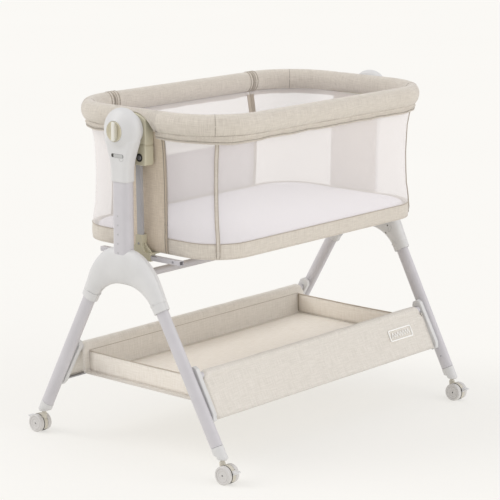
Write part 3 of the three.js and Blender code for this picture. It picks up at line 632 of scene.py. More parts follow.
def make_heads():
    """Moulded heads: a domed disc and its neck melted together, then bored for the turn knob."""
    outline = [(-24.2, NECK_Z), (24.2, NECK_Z), (24.5, 634), (25.6, 646), (28.5, 659), (36, 680), (44.5, 702), (0, 721),
               (-44.5, 702), (-36, 680), (-28.5, 659), (-25.6, 646), (-24.5, 634)]
    dome = [(0, -14.5), (36, -14.5), (42.5, -12.8), (46.6, -8.5), (48, -2), (47.9, 3), (46.6, 7.6), (43.8, 12),
            (39.5, 15.8), (34, 19.2), (28.5, 22.6), (24, 25.6), (20, 27.6), (10, 29), (0, 29.4)]
    for tip, s in ENDS.items():
        disc = lathe(dome, POST_X, 0, PIVOT_Z, 72)
        neck = bmesh.new()
        face = neck.faces.new([neck.verts.new((POST_X - 14.5, y, z)) for y, z in outline])
        made = bmesh.ops.extrude_face_region(neck, geom=[face])["geom"]
        bmesh.ops.translate(neck, vec=(32.0, 0, 0), verts=[g for g in made if isinstance(g, bmesh.types.BMVert)])
        bmesh.ops.recalc_face_normals(neck, faces=neck.faces)
        for x, round_over in ((POST_X + 17.5, 11.0), (POST_X - 14.5, 9.0)):
            rim = [e for e in neck.edges if all(abs(v.co.x - x) < 0.01 for v in e.verts)
                   and not all(v.co.z < NECK_Z + 0.1 for v in e.verts)]
            bmesh.ops.bevel(neck, geom=rim, offset=round_over, segments=6, profile=0.5, affect="EDGES", material=-1)
        made = piece(f"domed_head_{tip}", merged(disc, neck), WHITE_ABS, f"head_{tip}",
                     [f"head_casing_{tip}"], (s, 1), sharp=180)
        modify(made, "REMESH", mode="VOXEL", voxel_size=1.5 * MM, use_smooth_shade=True)
        modify(made, "SMOOTH", factor=0.5, iterations=14)
        # Bore the seat of the turn knob.
        cutter = lathe([(0, 0), (BOWL_R, 0), (BOWL_R, 20), (0, 20)], POST_X + 18.2, 0, PIVOT_Z, 72)
        bmesh.ops.scale(cutter, vec=(s * MM, MM, MM), verts=cutter.verts)
        if s < 0:
            bmesh.ops.reverse_faces(cutter, faces=cutter.faces)
        tool_mesh = bpy.data.meshes.new("bore")
        cutter.to_mesh(tool_mesh)
        cutter.free()
        tool = bpy.data.objects.new("bore", tool_mesh)
        bpy.context.scene.collection.objects.link(tool)
        modify(made, "BOOLEAN", operation="DIFFERENCE", object=tool, solver="EXACT")
        bpy.data.objects.remove(tool)
        for e in made.data.edges:
            e.use_edge_sharp = False
        made.data.set_sharp_from_angle(angle=math.radians(40))
        boss = lathe([(0, 0), (33, 0), (34.4, 0.8), (35, 2.2), (35, 13), (0, 13)], POST_X - 27, 0, PIVOT_Z, 64)
        piece(f"head_boss_{tip}", boss, WHITE_ABS, f"head_{tip}", (), (s, 1), sharp=50)
        # Turn knob: a bowl with a grip rib across it, the rib in a paler copy of the ivory as painted highlight.
        bowl = lathe([(0, 19.0), (9, 19.3), (14, 20.6), (17.8, 23.0), (20.0, 25.8), (20.6, 27.2), (21.0, 27.6),
                      (21.7, 27.0), (21.8, 18.5), (0, 18.5)], POST_X, 0, PIVOT_Z, 64)
        rib = block(POST_X + 19.0, POST_X + 31.5, -4.5, 4.5, PIVOT_Z - 20.2, PIVOT_Z + 20.2, 2.0, 4)
        piece(f"turn_knob_{tip}", bowl, IVORY_ABS, f"knob_{tip}", [f"swing_lock_knob_{tip}"], (s, 1),
              sharp=50)
        piece(f"knob_grip_{tip}", rib, RIB_PAINTED_HIGHLIGHT_ABS, f"knob_{tip}", (), (s, 1))
        # Slot in the neck with the slide button that frees the post, framed in near-black as painted shade in the slot,
        # and the thumb recess under it, with a grey line as painted shade along its rim.
        face = POST_X + 17.3
        slot_frame = slab([(-18, 664.2), (17, 664.2), (17, 672.2), (-18, 672.2)], face - 3, face + 0.45, 0.3, 2, 3.0)
        piece(f"release_slot_{tip}", slot_frame, PAINTED_SHADE_ABS, f"head_{tip}", (), (s, 1))
        slider = slab([(-16.8, 664.6), (10, 664.6), (10, 671.8), (-16.8, 671.8)], face - 2, face + 1.2, 0.5, 3, 1.2)
        piece(f"release_slide_{tip}", slider, GREY_ABS_AND_PAINTED_SHADE, f"release_{tip}", [f"height_release_{tip}"],
              (s, 1))
        recess = [Vector((face + 0.2, -11.5 - 6.0 * math.cos(math.radians(a)), 663.6 - 6.4 * math.sin(math.radians(a))))
                  for a in range(0, 181, 12)]
        piece(f"thumb_recess_line_{tip}", tube(recess, 0.55, 8), GREY_ABS_AND_PAINTED_SHADE, f"head_{tip}", (), (s, 1))


make_legs()
make_hubs()
make_posts_and_bars()
make_heads()


# ---- brackets, struts and the tube under each end ------------------------------------------------------
def arc_over_bracket(y, half=58.0, low=716.0, rise=41.0):
    return low + rise * math.sqrt(max(1 - (y / half) ** 2, 0))


def make_tub_frame():
    x0, x1 = 373.0, POST_X - 27.6
    split = 690.0
    top = [(39 - 78 * k / 16, arc_over_bracket(39 - 78 * k / 16) - 2.0) for k in range(17)]
    for tip, s in ENDS.items():
        upper = slab([(-39, split + 0.4), (39, split + 0.4)] + top, x0, x1, 3.2, 4)
        lower = slab([(-39, 644), (-32, 644), (32, 644), (39, 644), (39, split - 0.4), (-39, split - 0.4)], x0, x1,
                     3.0, 4, 6.0)
        core = block(x0 + 1.5, x1 - 1.5, -37, 37, split - 4, split + 4, 0.3, 1)
        shaft = lathe([(0, 0), (8, 0), (8, 22), (7.2, 22.8), (0, 22.8)], x1 - 1, 0, PIVOT_Z, 32)
        piece(f"tub_hanger_{tip}", merged(upper, lower, core, shaft), BEIGE_ABS, "bassinet",
              [f"tub_bracket_{tip}"], (s, 1))
        # Near-black wells round the bolts: painted shade in the wells.
        wells, bolts = [], []
        for y in (-21.5, 21.5):
            wells.append(lathe([(0, 0.05), (7.6, 0.05), (7.8, 0.45), (9.0, 0.5), (9.2, -0.5), (0, -0.5)], x1, y, 661,
                               32))
            bolts.append(lathe([(0, 0.5), (2.2, 0.5), (2.4, 2.2), (4.4, 2.0), (5.0, 1.2), (5.0, -0.2), (0, -0.2)],
                               x1, y, 661, 24))
        piece(f"bolt_wells_{tip}", merged(*wells), PAINTED_SHADE_ABS, "bassinet", (), (s, 1))
        piece(f"hanger_bolts_{tip}", merged(*bolts), ZINC, "bassinet", (), (s, 1))
        piece(f"flat_strut_{tip}", softened(f"strut_{tip}", 1.2, 3), STRUT_PAINT, "bassinet",
              [f"strut_{tip}"])
        piece(f"tee_joint_{tip}", softened(f"tee_fitting_{tip}", 0.9, 2), BEIGE_ABS, "bassinet",
              [f"tee_fitting_{tip}"])
        gusset = []
        for e in (-1, 1):
            gusset.append(slab([(e * 8.8, 452), (e * 31, 452), (e * 8.8, 474)][::e], 371.5, 375.5, 0.6, 2))
        piece(f"tee_gussets_{tip}", merged(*gusset), BEIGE_ABS, "bassinet", (), (s, 1))
        piece(f"bottom_tube_{tip}", softened(f"base_tube_{tip}", 1.4, 3), POWDER_COAT, "bassinet",
              [f"base_tube_{tip}"])
        heads = [screw(2.6, 382.2, 0, 470, (1, 0, 0)), screw(2.4, 380.2, -98, 442, (1, 0, 0)),
                 screw(2.4, 380.2, 98, 442, (1, 0, 0))]
        piece(f"tub_screws_{tip}", merged(*heads), ZINC, "bassinet", (), (s, 1))
        # Near-black slots in the tube: painted shade in the openings.
        slots = [block(380.0, 380.6, e * 44 - 7, e * 44 + 7, 446.2, 447.4, 0.2, 1) for e in (-1, 1)]
        piece(f"tube_slots_{tip}", merged(*slots), PAINTED_SHADE_ABS, "bassinet", (), (s, 1))


make_tub_frame()


# ---- plan of the tub ---------------------------------------------------------------------------------------
def plan(X, Y, R, drop=None, straight=12.0, corner=10):
    """Stations (point, outward) round the tub from the far left, by the front, to the far right; or right
    round where drop is None."""
    out = []

    def run(a, b, n, nominal):
        steps = max(2, round(nominal / straight))     # the same count at every level
        for k in range(steps):
            out.append((Vector(a) + (Vector(b) - Vector(a)) * k / steps, Vector(n)))

    def bend(cx, cy, start):
        for k in range(corner):
            t = math.radians(start + 90 * k / corner)
            n = Vector((math.cos(t), math.sin(t)))
            out.append((Vector((cx, cy)) + R * n, n))

    first = drop if drop is not None else 0.0
    long, short = 2 * (RAIL_X - RAIL_R), 2 * (RAIL_Y - RAIL_R)
    run((-first, Y), (-X + R, Y), (0, 1), long / 2 - first)
    bend(-X + R, Y - R, 90)
    run((-X, Y - R), (-X, -Y + R), (-1, 0), short)
    bend(-X + R, -Y + R, 180)
    run((-X + R, -Y), (X - R, -Y), (0, -1), long)
    bend(X - R, -Y + R, 270)
    run((X, -Y + R), (X, Y - R), (1, 0), short)
    bend(X - R, Y - R, 0)
    run((X - R, Y), (first, Y), (0, 1), long / 2 - first)
    if drop is not None:
        out.append((Vector((first, Y)), Vector((0, 1))))
    return out


def pad_ring(p, n, opened, count=30):
    """Section of the padded rail at p, facing n; the outer underside is cut away over a bracket."""
    lowest = -82.0
    if opened:
        edge = arc_over_bracket(p.y)
        lowest = math.degrees(math.asin(min(max((edge - RAIL_Z) / RAIL_HALF_H, -0.99), 0.99)))
    out = []
    for i in range(count):
        t = math.radians(lowest + (262 - lowest) * i / (count - 1))
        c, s = math.cos(t), math.sin(t)
        squeeze = 1 - 0.10 * max(0.0, -s - 0.55)
        lump = noise.noise(Vector((p.x * 0.011, p.y * 0.011, t * 1.1)) * 1.7) * 0.6
        crease = noise.noise(Vector((p.x * 0.05, p.y * 0.05, t * 0.5))) * 0.4
        grow = 1 + (lump + crease) / RAIL_HALF_W
        out.append(Vector((p.x + n.x * RAIL_HALF_W * c * squeeze * grow, p.y + n.y * RAIL_HALF_W * c * squeeze * grow,
                           RAIL_Z - 0.8 + (RAIL_HALF_H - 0.8) * s * (1 + (lump + crease) * 0.6 / RAIL_HALF_H))))
    return out


def closed_end(rings, inset=2.5):
    """Rounds a padded end over by one smaller ring beyond the last."""
    last, before = rings[-1], rings[-2]
    centre = sum(last, Vector()) / len(last)
    ahead = (sum(last, Vector()) / len(last) - sum(before, Vector()) / len(before)).normalized()
    return [centre + (v - centre) * 0.9 + ahead * inset for v in last]


def make_rail():
    stations = plan(RAIL_X, RAIL_Y, RAIL_R, DROP + 3.4, 8.0, 20)
    rings = [pad_ring(p, n, abs(n.y) < 0.01 and abs(p.y) < 58) for p, n in stations]
    rings = [closed_end(rings[::-1])] + rings + [closed_end(rings)]
    bm = loft(rings, closed=False)
    made = sewn("rail_pad", bm, LINEN, "bassinet", ["rail_cover"])
    modify(made, "SOLIDIFY", thickness=2.2 * MM, offset=-1.0)
    xs = [-DROP + 3.0 + (2 * DROP - 6) * k / 60 for k in range(61)]
    rings = [pad_ring(Vector((x, RAIL_Y)), Vector((0, 1)), False) for x in xs]
    rings = [closed_end(rings[::-1])] + rings + [closed_end(rings)]
    made = sewn("drop_rail_pad", loft(rings, closed=False), LINEN, "drop_side", ["drop_rail_cover"])
    modify(made, "SOLIDIFY", thickness=2.2 * MM, offset=-1.0)

    # Cloth drawn over the padded ends, which show when the side is down.
    def end_cap(x, way):
        rim = pad_ring(Vector((x, RAIL_Y)), Vector((0, 1)), False)
        centre = sum(rim, Vector()) / len(rim)
        return loft([[centre + (v - centre) * size + Vector((way * out, 0, 0)) for v in rim]
                     for size, out in ((0.86, -1.6), (0.9, -0.5), (0.85, 0.0), (0.5, 0.1), (0.2, 0.1))],
                    cap_start=True, cap_end=True)

    for tag, body, x, way in (("rail", "bassinet", DROP + 0.8, -1), ("drop_rail", "drop_side", DROP - 0.4, 1)):
        sewn(f"{tag}_end_caps", merged(*(end_cap(s * x, s * way) for s in (-1, 1))), LINEN, body, sharp=60)

    # Zip band that hangs under the pad, with its lower piping; the dark cords of the seam above it and of the zip's
    # line are painted shade in those grooves.
    def band(name, body, stations, replaces=()):
        def at(p, n, out, z, wave=0.0):
            w = noise.noise(Vector((p.x * 0.03, p.y * 0.03, 3.0))) * wave
            # It sags by the zip's end.
            w -= 2.4 * wave * max(0.0, 1 - (p - Vector((-RAIL_X + 70, -RAIL_Y + 40))).length / 110)
            return Vector((p.x + n.x * out, p.y + n.y * out, z + w))
        profile = [(6.0, 721.0, 0), (9.2, 717.6, 0.2), (9.8, 713.5, 0.6), (8.4, 709.6, 1.2), (7.4, 704.6, 1.8),
                   (3.2, 704.2, 1.8), (3.0, 713.0, 0.5), (3.0, 720.0, 0)]
        strips = []
        for run in stations:
            rings = [[at(p, n, o, z, w) for o, z, w in profile] for p, n in run]
            strips.append(loft(rings, closed=True, cap_start=True, cap_end=True))
        sewn(f"{name}_zip_band", merged(*strips), LINEN, body, replaces, sharp=60)
        for tag, out, z, radius, wave, mat in (("piping", 7.4, 704.3, 1.35, 1.8, LINEN),
                                               ("seam_line", 9.0, 718.9, 0.6, 0.2, SEAM_PAINTED_SHADE),
                                               ("zip_line", 8.6, 707.4, 0.5, 1.4, SEAM_PAINTED_SHADE),
                                               ("zip_fold", 9.9, 712.4, 1.1, 0.8, LINEN)):
            lines = [tube([at(p, n, out, z, wave) for p, n in run], radius, 8) for run in stations]
            sewn(f"{name}_{tag}", merged(*lines), mat, body)

    path = plan(RAIL_X - 2, RAIL_Y - 2, RAIL_R - 2, DROP + 4, 8.0, 16)
    runs, run = [], []
    for p, n in path:
        if abs(n.y) < 0.01 and abs(p.y) < 56:
            if run:
                runs.append(run)
            run = []
        else:
            run.append((p, n))
    runs.append(run)
    band("rail", "bassinet", runs)
    band("drop_rail", "drop_side", [[(Vector((-DROP + 4 + (2 * DROP - 8) * k / 50, RAIL_Y - 2)), Vector((0, 1)))
                                     for k in range(51)]])
    # Bound edge of the pad where it opens over each bracket.
    for tip, s in ENDS.items():
        edge = []
        for k in range(41):
            y = 57.6 - 115.2 * k / 40
            z = arc_over_bracket(y)
            t = math.asin(min(max((z - RAIL_Z) / RAIL_HALF_H, -0.99), 0.99))
            c = math.cos(t)
            edge.append(Vector((RAIL_X + (RAIL_HALF_W + 0.3) * c, y, z)))
        sewn(f"bracket_binding_{tip}", tube(edge, 1.5, 10), LINEN, "bassinet", (), (s, 1))

    # Seams sewn across the pad at the middle of each corner, as dark cords that paint the shade in their grooves, and
    # the padded collars at both ends of the drop side, piped in the darker binding as painted shade along their edges.
    def hoop(p, n, grow, radius, start=-80, stop=258):
        line = []
        for k in range(49):
            t = math.radians(start + (stop - start) * k / 48)
            c, s2 = math.cos(t), math.sin(t)
            line.append(Vector((p.x + n.x * (RAIL_HALF_W + grow) * c, p.y + n.y * (RAIL_HALF_W + grow) * c,
                                RAIL_Z - 0.8 + (RAIL_HALF_H - 0.8 + grow) * s2)))
        return tube(line, radius, 8)

    seams = []
    for sx in (-1, 1):
        for sy in (-1, 1):
            n = Vector((sx, sy)).normalized()
            p = Vector((sx * (RAIL_X - RAIL_R), sy * (RAIL_Y - RAIL_R))) + n * RAIL_R
            seams.append(hoop(p, n, -0.45, 0.7))
    sewn("rail_corner_seams", merged(*seams), SEAM_PAINTED_SHADE, "bassinet")
    for tag, body, offsets in (("rail_end", "bassinet", (DROP + 4.5, DROP + 12.5)),
                               ("drop_rail_end", "drop_side", (DROP - 4.5, DROP - 12.5))):
        cords = [hoop(Vector((s * o, RAIL_Y)), Vector((0, 1)), 0.3, 0.9) for s in (-1, 1) for o in offsets]
        sewn(f"{tag}_piping", merged(*cords), SHADE_TAPE, body)


# The wall's plan at each height: height, half length, half width, corner radius.
WALL = [(487, 361, 213, 91), (500, 361, 212, 91.5), (515, 361, 210.8, 94.5), (530, 361, 209.5, 98),
        (560, 361.4, 208.7, 101), (600, 362, 208.5, 105), (640, 363.8, 210.5, 108), (665, 365, 212, 110),
        (690, 367.5, 216, 111), (708, 371, 219.5, 113), (717, 372.5, 220.5, 114)]


def make_walls():
    # The stretched net, a touch outside the frame's shell so that the drawn-in waist reads.
    plans = [plan(X, Y, R, DROP + 1.0, 14.0, 12) for _, X, Y, R in WALL]
    rings = [[Vector((*plans[k][i][0], WALL[k][0])) for k in range(len(WALL))] for i in range(len(plans[0]))]
    wall = piece("net_wall_cloth", loft(rings, closed=False), NET, "bassinet", ["net_wall"], sharp=80)
    xs = [-DROP + 1.5 + (2 * DROP - 3) * k / 36 for k in range(37)]
    rings = [[Vector((x, Y, z)) for z, _, Y, _ in WALL] for x in xs]
    drop = piece("drop_net_cloth", loft(rings, closed=False), NET, "drop_side", ["drop_net"], sharp=80)

    # The drop side is lined with a second, greyer net up to half its height.
    rings = [[Vector((x, Y - 2.6, z)) for z, _, Y, _ in WALL[:6]] for x in xs]
    lining = piece("drop_net_lining", loft(rings, closed=False), LINING, "drop_side", sharp=80)

    # Linen panel at each end, over the hem, with double piping down its edges in the darker binding: painted shade
    # along them.
    levels = [(453.5, 359.5), (456, 361.6), (460, 362.6), (470, 362.9), (487, 362.9)]
    levels += [(z, X + 1.3) for z, X, _, _ in WALL[1:]]
    for tip, s in ENDS.items():
        rings = []
        for k in range(15):
            y = -67 + 134 * k / 14
            rings.append([Vector((x, y + math.copysign(max(0, (487 - z)) * 0.06, y) * abs(y) / 67, z))
                          for z, x in levels])
        panel = sewn(f"linen_end_panel_{tip}", loft(rings, closed=False), LINEN_WARM, "bassinet", (), (s, 1))
        modify(panel, "SOLIDIFY", thickness=0.9 * MM, offset=1.0)
        cords = []
        for e in (-1, 1):
            for inset in (0.0, 6.5):
                line = [Vector((x + 1.4, e * (67.4 - inset + max(0, (487 - z)) * 0.06), z)) for z, x in levels]
                cords.append(tube(line, 1.25, 8))
        sewn(f"end_panel_piping_{tip}", merged(*cords), SHADE_TAPE, "bassinet", (), (s, 1))
        # Binding strap down the middle of each front corner; its rims are in the darker binding, painted shade along
        # its edges.
        centres, sides = [], []
        n = Vector((s, -1)).normalized()
        across = Vector((n.y, -n.x))
        for z, X, Y, R in [(454, 358, 210, 88), (460, 361.6, 213.6, 92), (472, 362.4, 214.4, 92)] + WALL[:-1]:
            p = Vector((s * (X - R), -(Y - R))) + n * (R + 0.9)
            centres.append(Vector((*p, z)))
        half = 3.7
        rings = []
        for p in centres:
            ring = []
            for u, w in ((-half, 0), (-half, 1.0), (-half + 0.7, 1.5), (half - 0.7, 1.5), (half, 1.0), (half, 0)):
                q = Vector((p.x, p.y)) + across * u + n * w
                ring.append(Vector((q.x, q.y, p.z)))
            rings.append(ring)
        sewn(f"corner_binding_{tip}", loft(rings, cap_start=True, cap_end=True), LINEN, "bassinet", sharp=60)
        rims = []
        for u in (-half + 0.2, half - 0.2):
            rims.append(tube([Vector((*(Vector((p.x, p.y)) + across * u + n * 1.3), p.z)) for p in centres], 0.8, 8))
        sewn(f"corner_binding_rims_{tip}", merged(*rims), SHADE_TAPE, "bassinet")

    # Zips down the far wall: a tape on each side of the opening, with its coil; the wall's tape is the darker binding,
    # painted shade on that side of the zip.
    for s in (-1, 1):
        tip = "left" if s < 0 else "right"
        for tag, body, tape, a, b in (("wall", "bassinet", SHADE_TAPE, DROP + 1.4, DROP + 12),
                                      ("drop", "drop_side", TAPE, DROP - 0.6, DROP - 11)):
            rings = []
            for z, _, Y, _ in WALL[:-1]:
                lo, hi = sorted((a, b))
                rings.append([Vector((s * x, Y + w, z)) for x, w in ((lo, -0.9), (hi, -0.9), (hi, 0.9), (lo, 0.9))])
            sewn(f"zip_tape_{tag}_{tip}", loft(rings, cap_start=True, cap_end=True), tape, body, sharp=60)
            teeth = []
            x = s * (DROP + 0.4 + (1.1 if tag == "wall" else -1.1))
            for k in range(52):
                z = 490 + 4.2 * k + (2.1 if tag == "drop" else 0)
                Y = next(low[2] + (high[2] - low[2]) * (z - low[0]) / (high[0] - low[0])
                         for low, high in zip(WALL, WALL[1:]) if low[0] <= z <= high[0])
                teeth.append(block(x - 1.0, x + 1.0, Y - 1.5, Y + 1.5, z - 0.8, z + 0.8, 0.25, 1))
            piece(f"zip_teeth_{tag}_{tip}", merged(*teeth), TAPE, body)


def make_base():
    # Linen-covered tray: a hem band round the edge and a flat underside.
    X, Y, R = TRAY_HIGH.x, TRAY_HIGH.y, TRAY_R
    stations = [(452.6, -16), (452.0, -8), (452.1, -4.5), (453.2, -1.6), (456.5, 0.0), (463, 0.7), (474, 0.7),
                (482, 0.2), (486.0, -0.2), (486.8, -1.0), (486.4, -2.6), (474, -3.2), (461.5, -3.2)]
    rings = []
    for p, n in plan(X, Y, R, None, 14.0, 14):
        ring = []
        for z, g in stations:
            wob = noise.noise(Vector((p.x, p.y, z)) * 0.02) * 0.5
            ring.append(Vector((p.x + n.x * (g + wob), p.y + n.y * (g + wob), z)))
        rings.append(ring)
    rings.append(rings[0])
    band = loft(rings, closed=False)
    bmesh.ops.remove_doubles(band, verts=band.verts, dist=0.001)
    board_edge = [e for e in band.edges if e.is_boundary]
    bmesh.ops.holes_fill(band, edges=board_edge, sides=0)
    bmesh.ops.recalc_face_normals(band, faces=band.faces)
    made = sewn("linen_tray", band, LINEN, "bassinet", ["base_tray"], sharp=60)
    line = [(p, n) for p, n in plan(X, Y, R, None, 14.0, 14)]
    line.append(line[0])
    # The seam along the hem's top is in the darker binding: painted shade in its groove.
    sewn("hem_seam", tube([Vector((p.x + n.x * 0.1, p.y + n.y * 0.1, 486.2)) for p, n in line], 0.7, 8), SHADE_TAPE,
          "bassinet")
    sewn("hem_lower_piping", tube([Vector((p.x - n.x * 1.2, p.y - n.y * 1.2, 453.3)) for p, n in line], 1.1, 8), LINEN,
          "bassinet")


def make_mattress():
    low, high = node_box("mattress")
    X, Y, R = high.x + 1.0, high.y + 3.0, TRAY_R
    rings = []
    for z, g in ((low.z + 1.5, -8), (low.z + 2.5, -3), (low.z + 8, 0), (high.z - 8, 0), (high.z - 3, -2),
                 (high.z - 1, -7)):
        rings.append([Vector((*(p + n * g), z)) for p, n in plan(X, Y, R, None, 12.0, 14)])
    bm = loft(rings, cap_start=True, cap_end=True)
    made = piece("jersey_mattress", bm, JERSEY, "mattress", ["mattress"], sharp=180)
    modify(made, "REMESH", mode="VOXEL", voxel_size=7 * MM, use_smooth_shade=True)
    swell(made, 4.0, 2.6)
    lay_uv(made)


def swell(made, pressure, cap_mm, frames=20):
    """Blows a closed cover up a little with cloth simulation, and keeps each point near its start."""
    start = [v.co.copy() for v in made.data.vertices]
    cloth = made.modifiers.new("cloth", "CLOTH")
    cloth.settings.use_pressure = True
    cloth.settings.uniform_pressure_force = pressure
    cloth.settings.effector_weights.gravity = 0.0
    cloth.settings.quality = 5
    cloth.collision_settings.use_collision = False
    cloth.point_cache.frame_start, cloth.point_cache.frame_end = 1, frames
    scene = bpy.context.scene
    for f in range(1, frames + 1):
        scene.frame_set(f)
        bpy.context.view_layer.update()
    depsgraph = bpy.context.evaluated_depsgraph_get()
    shape = bpy.data.meshes.new_from_object(made.evaluated_get(depsgraph), depsgraph=depsgraph)
    made.modifiers.clear()
    for v, a, b in zip(made.data.vertices, start, shape.vertices):
        move = b.co - a
        if move.length > cap_mm * MM:
            move *= cap_mm * MM / move.length
        v.co = a + move
    bpy.data.meshes.remove(shape)
    scene.frame_set(1)


def lay_uv(made):
    """A UV map in metres, seen from above, for cloth that was remeshed."""
    layer = made.data.uv_layers.new(name="cloth")
    mesh = made.data
    for loop in mesh.loops:
        co = mesh.vertices[loop.vertex_index].co
        layer.data[loop.index].uv = (co.x + co.z, co.y + co.z)
    for polygon in mesh.polygons:
        polygon.use_smooth = True


make_rail()
make_walls()
make_base()
make_mattress()


# ---- storage basket -------------------------------------------------------------------------------------------
def make_basket():
    half = node_box("storage_basket")[1].x + 3.0
    # One cloth: lower edge of the front flap, over the front rail, down the inner wall, across the floor and up again.
    def section(x):
        pts = []
        r = 10.6
        sag = 1 - (x / half) ** 2
        floor = 151.6 - 3.0 * sag
        pts.append((FLAP_LOW_Y, FLAP_LOW_Z))
        for k in range(1, 8):
            t = k / 8
            pts.append((FLAP_LOW_Y - FLAP_IN * t - 2.2 * math.sin(math.pi * t) * sag, FLAP_LOW_Z + FLAP_UP * t))
        for k in range(11):
            a = math.radians(-22 + 200 * k / 10)
            pts.append((BRAIL_Y + r * math.cos(a), BRAIL_Z + r * math.sin(a) * (1 - 0.04 * sag)))
        pts += [(170.4, 203), (170.0, 192), (169.2, 178), (168.6, 164), (168.0, 156), (165.6, floor + 1.4),
                (160, floor + 0.3)]
        for k in range(1, 8):
            pts.append((160 - 160 * k / 7, floor - 1.5 * sag * math.sin(math.pi / 2 * k / 7)))
        return pts

    def ring(x):
        right = section(x)
        both = [(-y, z) for y, z in right] + [(y, z) for y, z in reversed(right[:-1])]
        out = []
        for i, (y, z) in enumerate(both):
            soft = noise.noise(Vector((x * 0.012, y * 0.02, z * 0.02))) * 1.1
            fine = noise.noise(Vector((x * 0.05, y * 0.05, z * 0.05 + 7))) * 0.35
            edge = min(1.0, (half - abs(x)) / 40)
            out.append(Vector((x, y, z + (soft + fine) * edge * (0.9 if z > 126 else 0.3))))
        return out

    count = 96
    xs = [-half + 2 * half * k / count for k in range(count + 1)]
    rings = []
    for x in xs:
        pts = ring(x)
        near = half - abs(x)
        if near < 14:       # round the corners off at both ends of the rail
            pull = 14 - near
            for p in pts:
                if p.z > 200:
                    p.z -= 0.10 * pull * pull * (p.z - 200) / 20
        rings.append(pts)
    cloth = sewn("basket_sling", loft(rings, closed=False), LINEN_PALE, "stand", ["storage_basket"])
    modify(cloth, "SOLIDIFY", thickness=1.1 * MM, offset=0.0)

    for tip, s in ENDS.items():
        x = 366.0
        rings = []
        for k in range(25):
            y = -168.5 + 337 * k / 24
            bow = 1 - (y / 168.5) ** 2
            col = []
            for j in range(7):
                z = 150.4 + (197 - 150.4) * j / 6
                ripple = 1.2 * noise.noise(Vector((y * 0.02, z * 0.03, s)))
                col.append(Vector((x - 2.5 * bow * math.sin(math.pi * j / 6) + ripple, y, z - 1.5 * bow * (j / 6))))
            rings.append(col)
        # The end walls are in the palest linen: painted light against the shade inside the basket.
        wall = sewn(f"basket_end_wall_{tip}", loft(rings, closed=False), LINEN_PAINTED_LIGHT, "stand", (), (s, 1))
        modify(wall, "SOLIDIFY", thickness=1.4 * MM, offset=0.0)
        top = [r[-1] + Vector((0, 0, 0.6)) for r in rings]
        sewn(f"basket_end_binding_{tip}", tube(top, 1.5, 10), TAPE, "stand", (), (s, 1))
        # Corner seams in the darker binding: painted shade in the corners.
        corner = []
        for e in (-1, 1):
            corner.append(tube([Vector((x - 1.4, e * 167.2, z)) for z in (151, 165, 180, 196)], 1.2, 8))
        sewn(f"basket_corner_seams_{tip}", merged(*corner), SHADE_TAPE, "stand", (), (s, 1))
        flap_edges = []
        for e in (-1, 1):
            line = [Vector((half, e * (FLAP_LOW_Y - FLAP_IN * k / 10), FLAP_LOW_Z + FLAP_UP * k / 10))
                    for k in range(11)]
            flap_edges.append(tube(line, 1.2, 8))
        sewn(f"basket_flap_binding_{tip}", merged(*flap_edges), LINEN_PALE, "stand", (), (s, 1))
    # Seams along the rails and the floor, in the darker binding: painted shade in their grooves.
    seams = []
    for e in (-1, 1):
        seams.append(tube([Vector((x, e * 170.2, 199.5)) for x in (-half + 20, 0, half - 20)], 0.8, 8))
    sewn("basket_rail_seams", merged(*seams), SHADE_TAPE, "stand")
    xs = [-350 + 700 * k / 40 for k in range(41)]
    floor_lines = [tube([Vector((x, e * 160.5, 152.2 - 3.0 * (1 - (x / half) ** 2))) for x in xs], 0.6, 6)
                   for e in (-1, 1)]
    sewn("basket_floor_seams", merged(*floor_lines), SHADE_TAPE, "stand")

    # Covered board that lies on the floor of the basket, in the palest linen: painted light against the shade there.
    rings = []
    for k in range(57):
        x = -357 + 714 * k / 56
        sag = 3.0 * (1 - (x / half) ** 2)
        across = []
        for j in range(25):
            y = -160 + 320 * j / 24
            dip = sag + 1.3 * (sag / 3) * math.cos(math.pi / 2 * y / 160)
            across.append(Vector((x, y, 153.6 - dip + noise.noise(Vector((x, y, 0)) * 0.02) * 0.5)))
        rings.append(across)
    board = sewn("basket_floor_board", loft(rings, closed=False), LINEN_PAINTED_LIGHT, "stand")
    modify(board, "SOLIDIFY", thickness=1.6 * MM, offset=-1.0)

    def on_flap(x, up):
        t = up / math.hypot(FLAP_IN, FLAP_UP)
        return Vector((x, -(FLAP_LOW_Y - FLAP_IN * t) - 1.6, FLAP_LOW_Z + FLAP_UP * t))

    # Blank stitched patch on the front flap, with a plain zigzag inside its border.
    cx, cy, w, h, r = 286.0, 58.0, 42.0, 12.5, 3.0
    outline = []
    for sx, sy, start in ((1, 1, 0), (-1, 1, 90), (-1, -1, 180), (1, -1, 270)):
        for k in range(7):
            t = math.radians(start + 15 * k)
            outline.append(on_flap(cx + sx * (w - r) + r * math.cos(t), cy + sy * (h - r) + r * math.sin(t)))
    outline.append(outline[0])
    zigzag = [on_flap(cx - w + 8 + (2 * w - 16) * k / 14, cy + (5 if k % 2 else -5)) for k in range(15)]
    sewn("flap_patch_border", tube(outline, 1.6, 8), PALE_THREAD, "stand")
    sewn("flap_patch_zigzag", tube(zigzag, 1.4, 8), PALE_THREAD, "stand")

    for side, e in SIDES.items():
        for tip, s in ENDS.items():
            i = f"{side}_{tip}"
            bm = softened(f"basket_bracket_{i}", 1.2, 3)
            piece(f"basket_clip_{i}", bm, WHITE_ABS, "stand", [f"basket_bracket_{i}"])


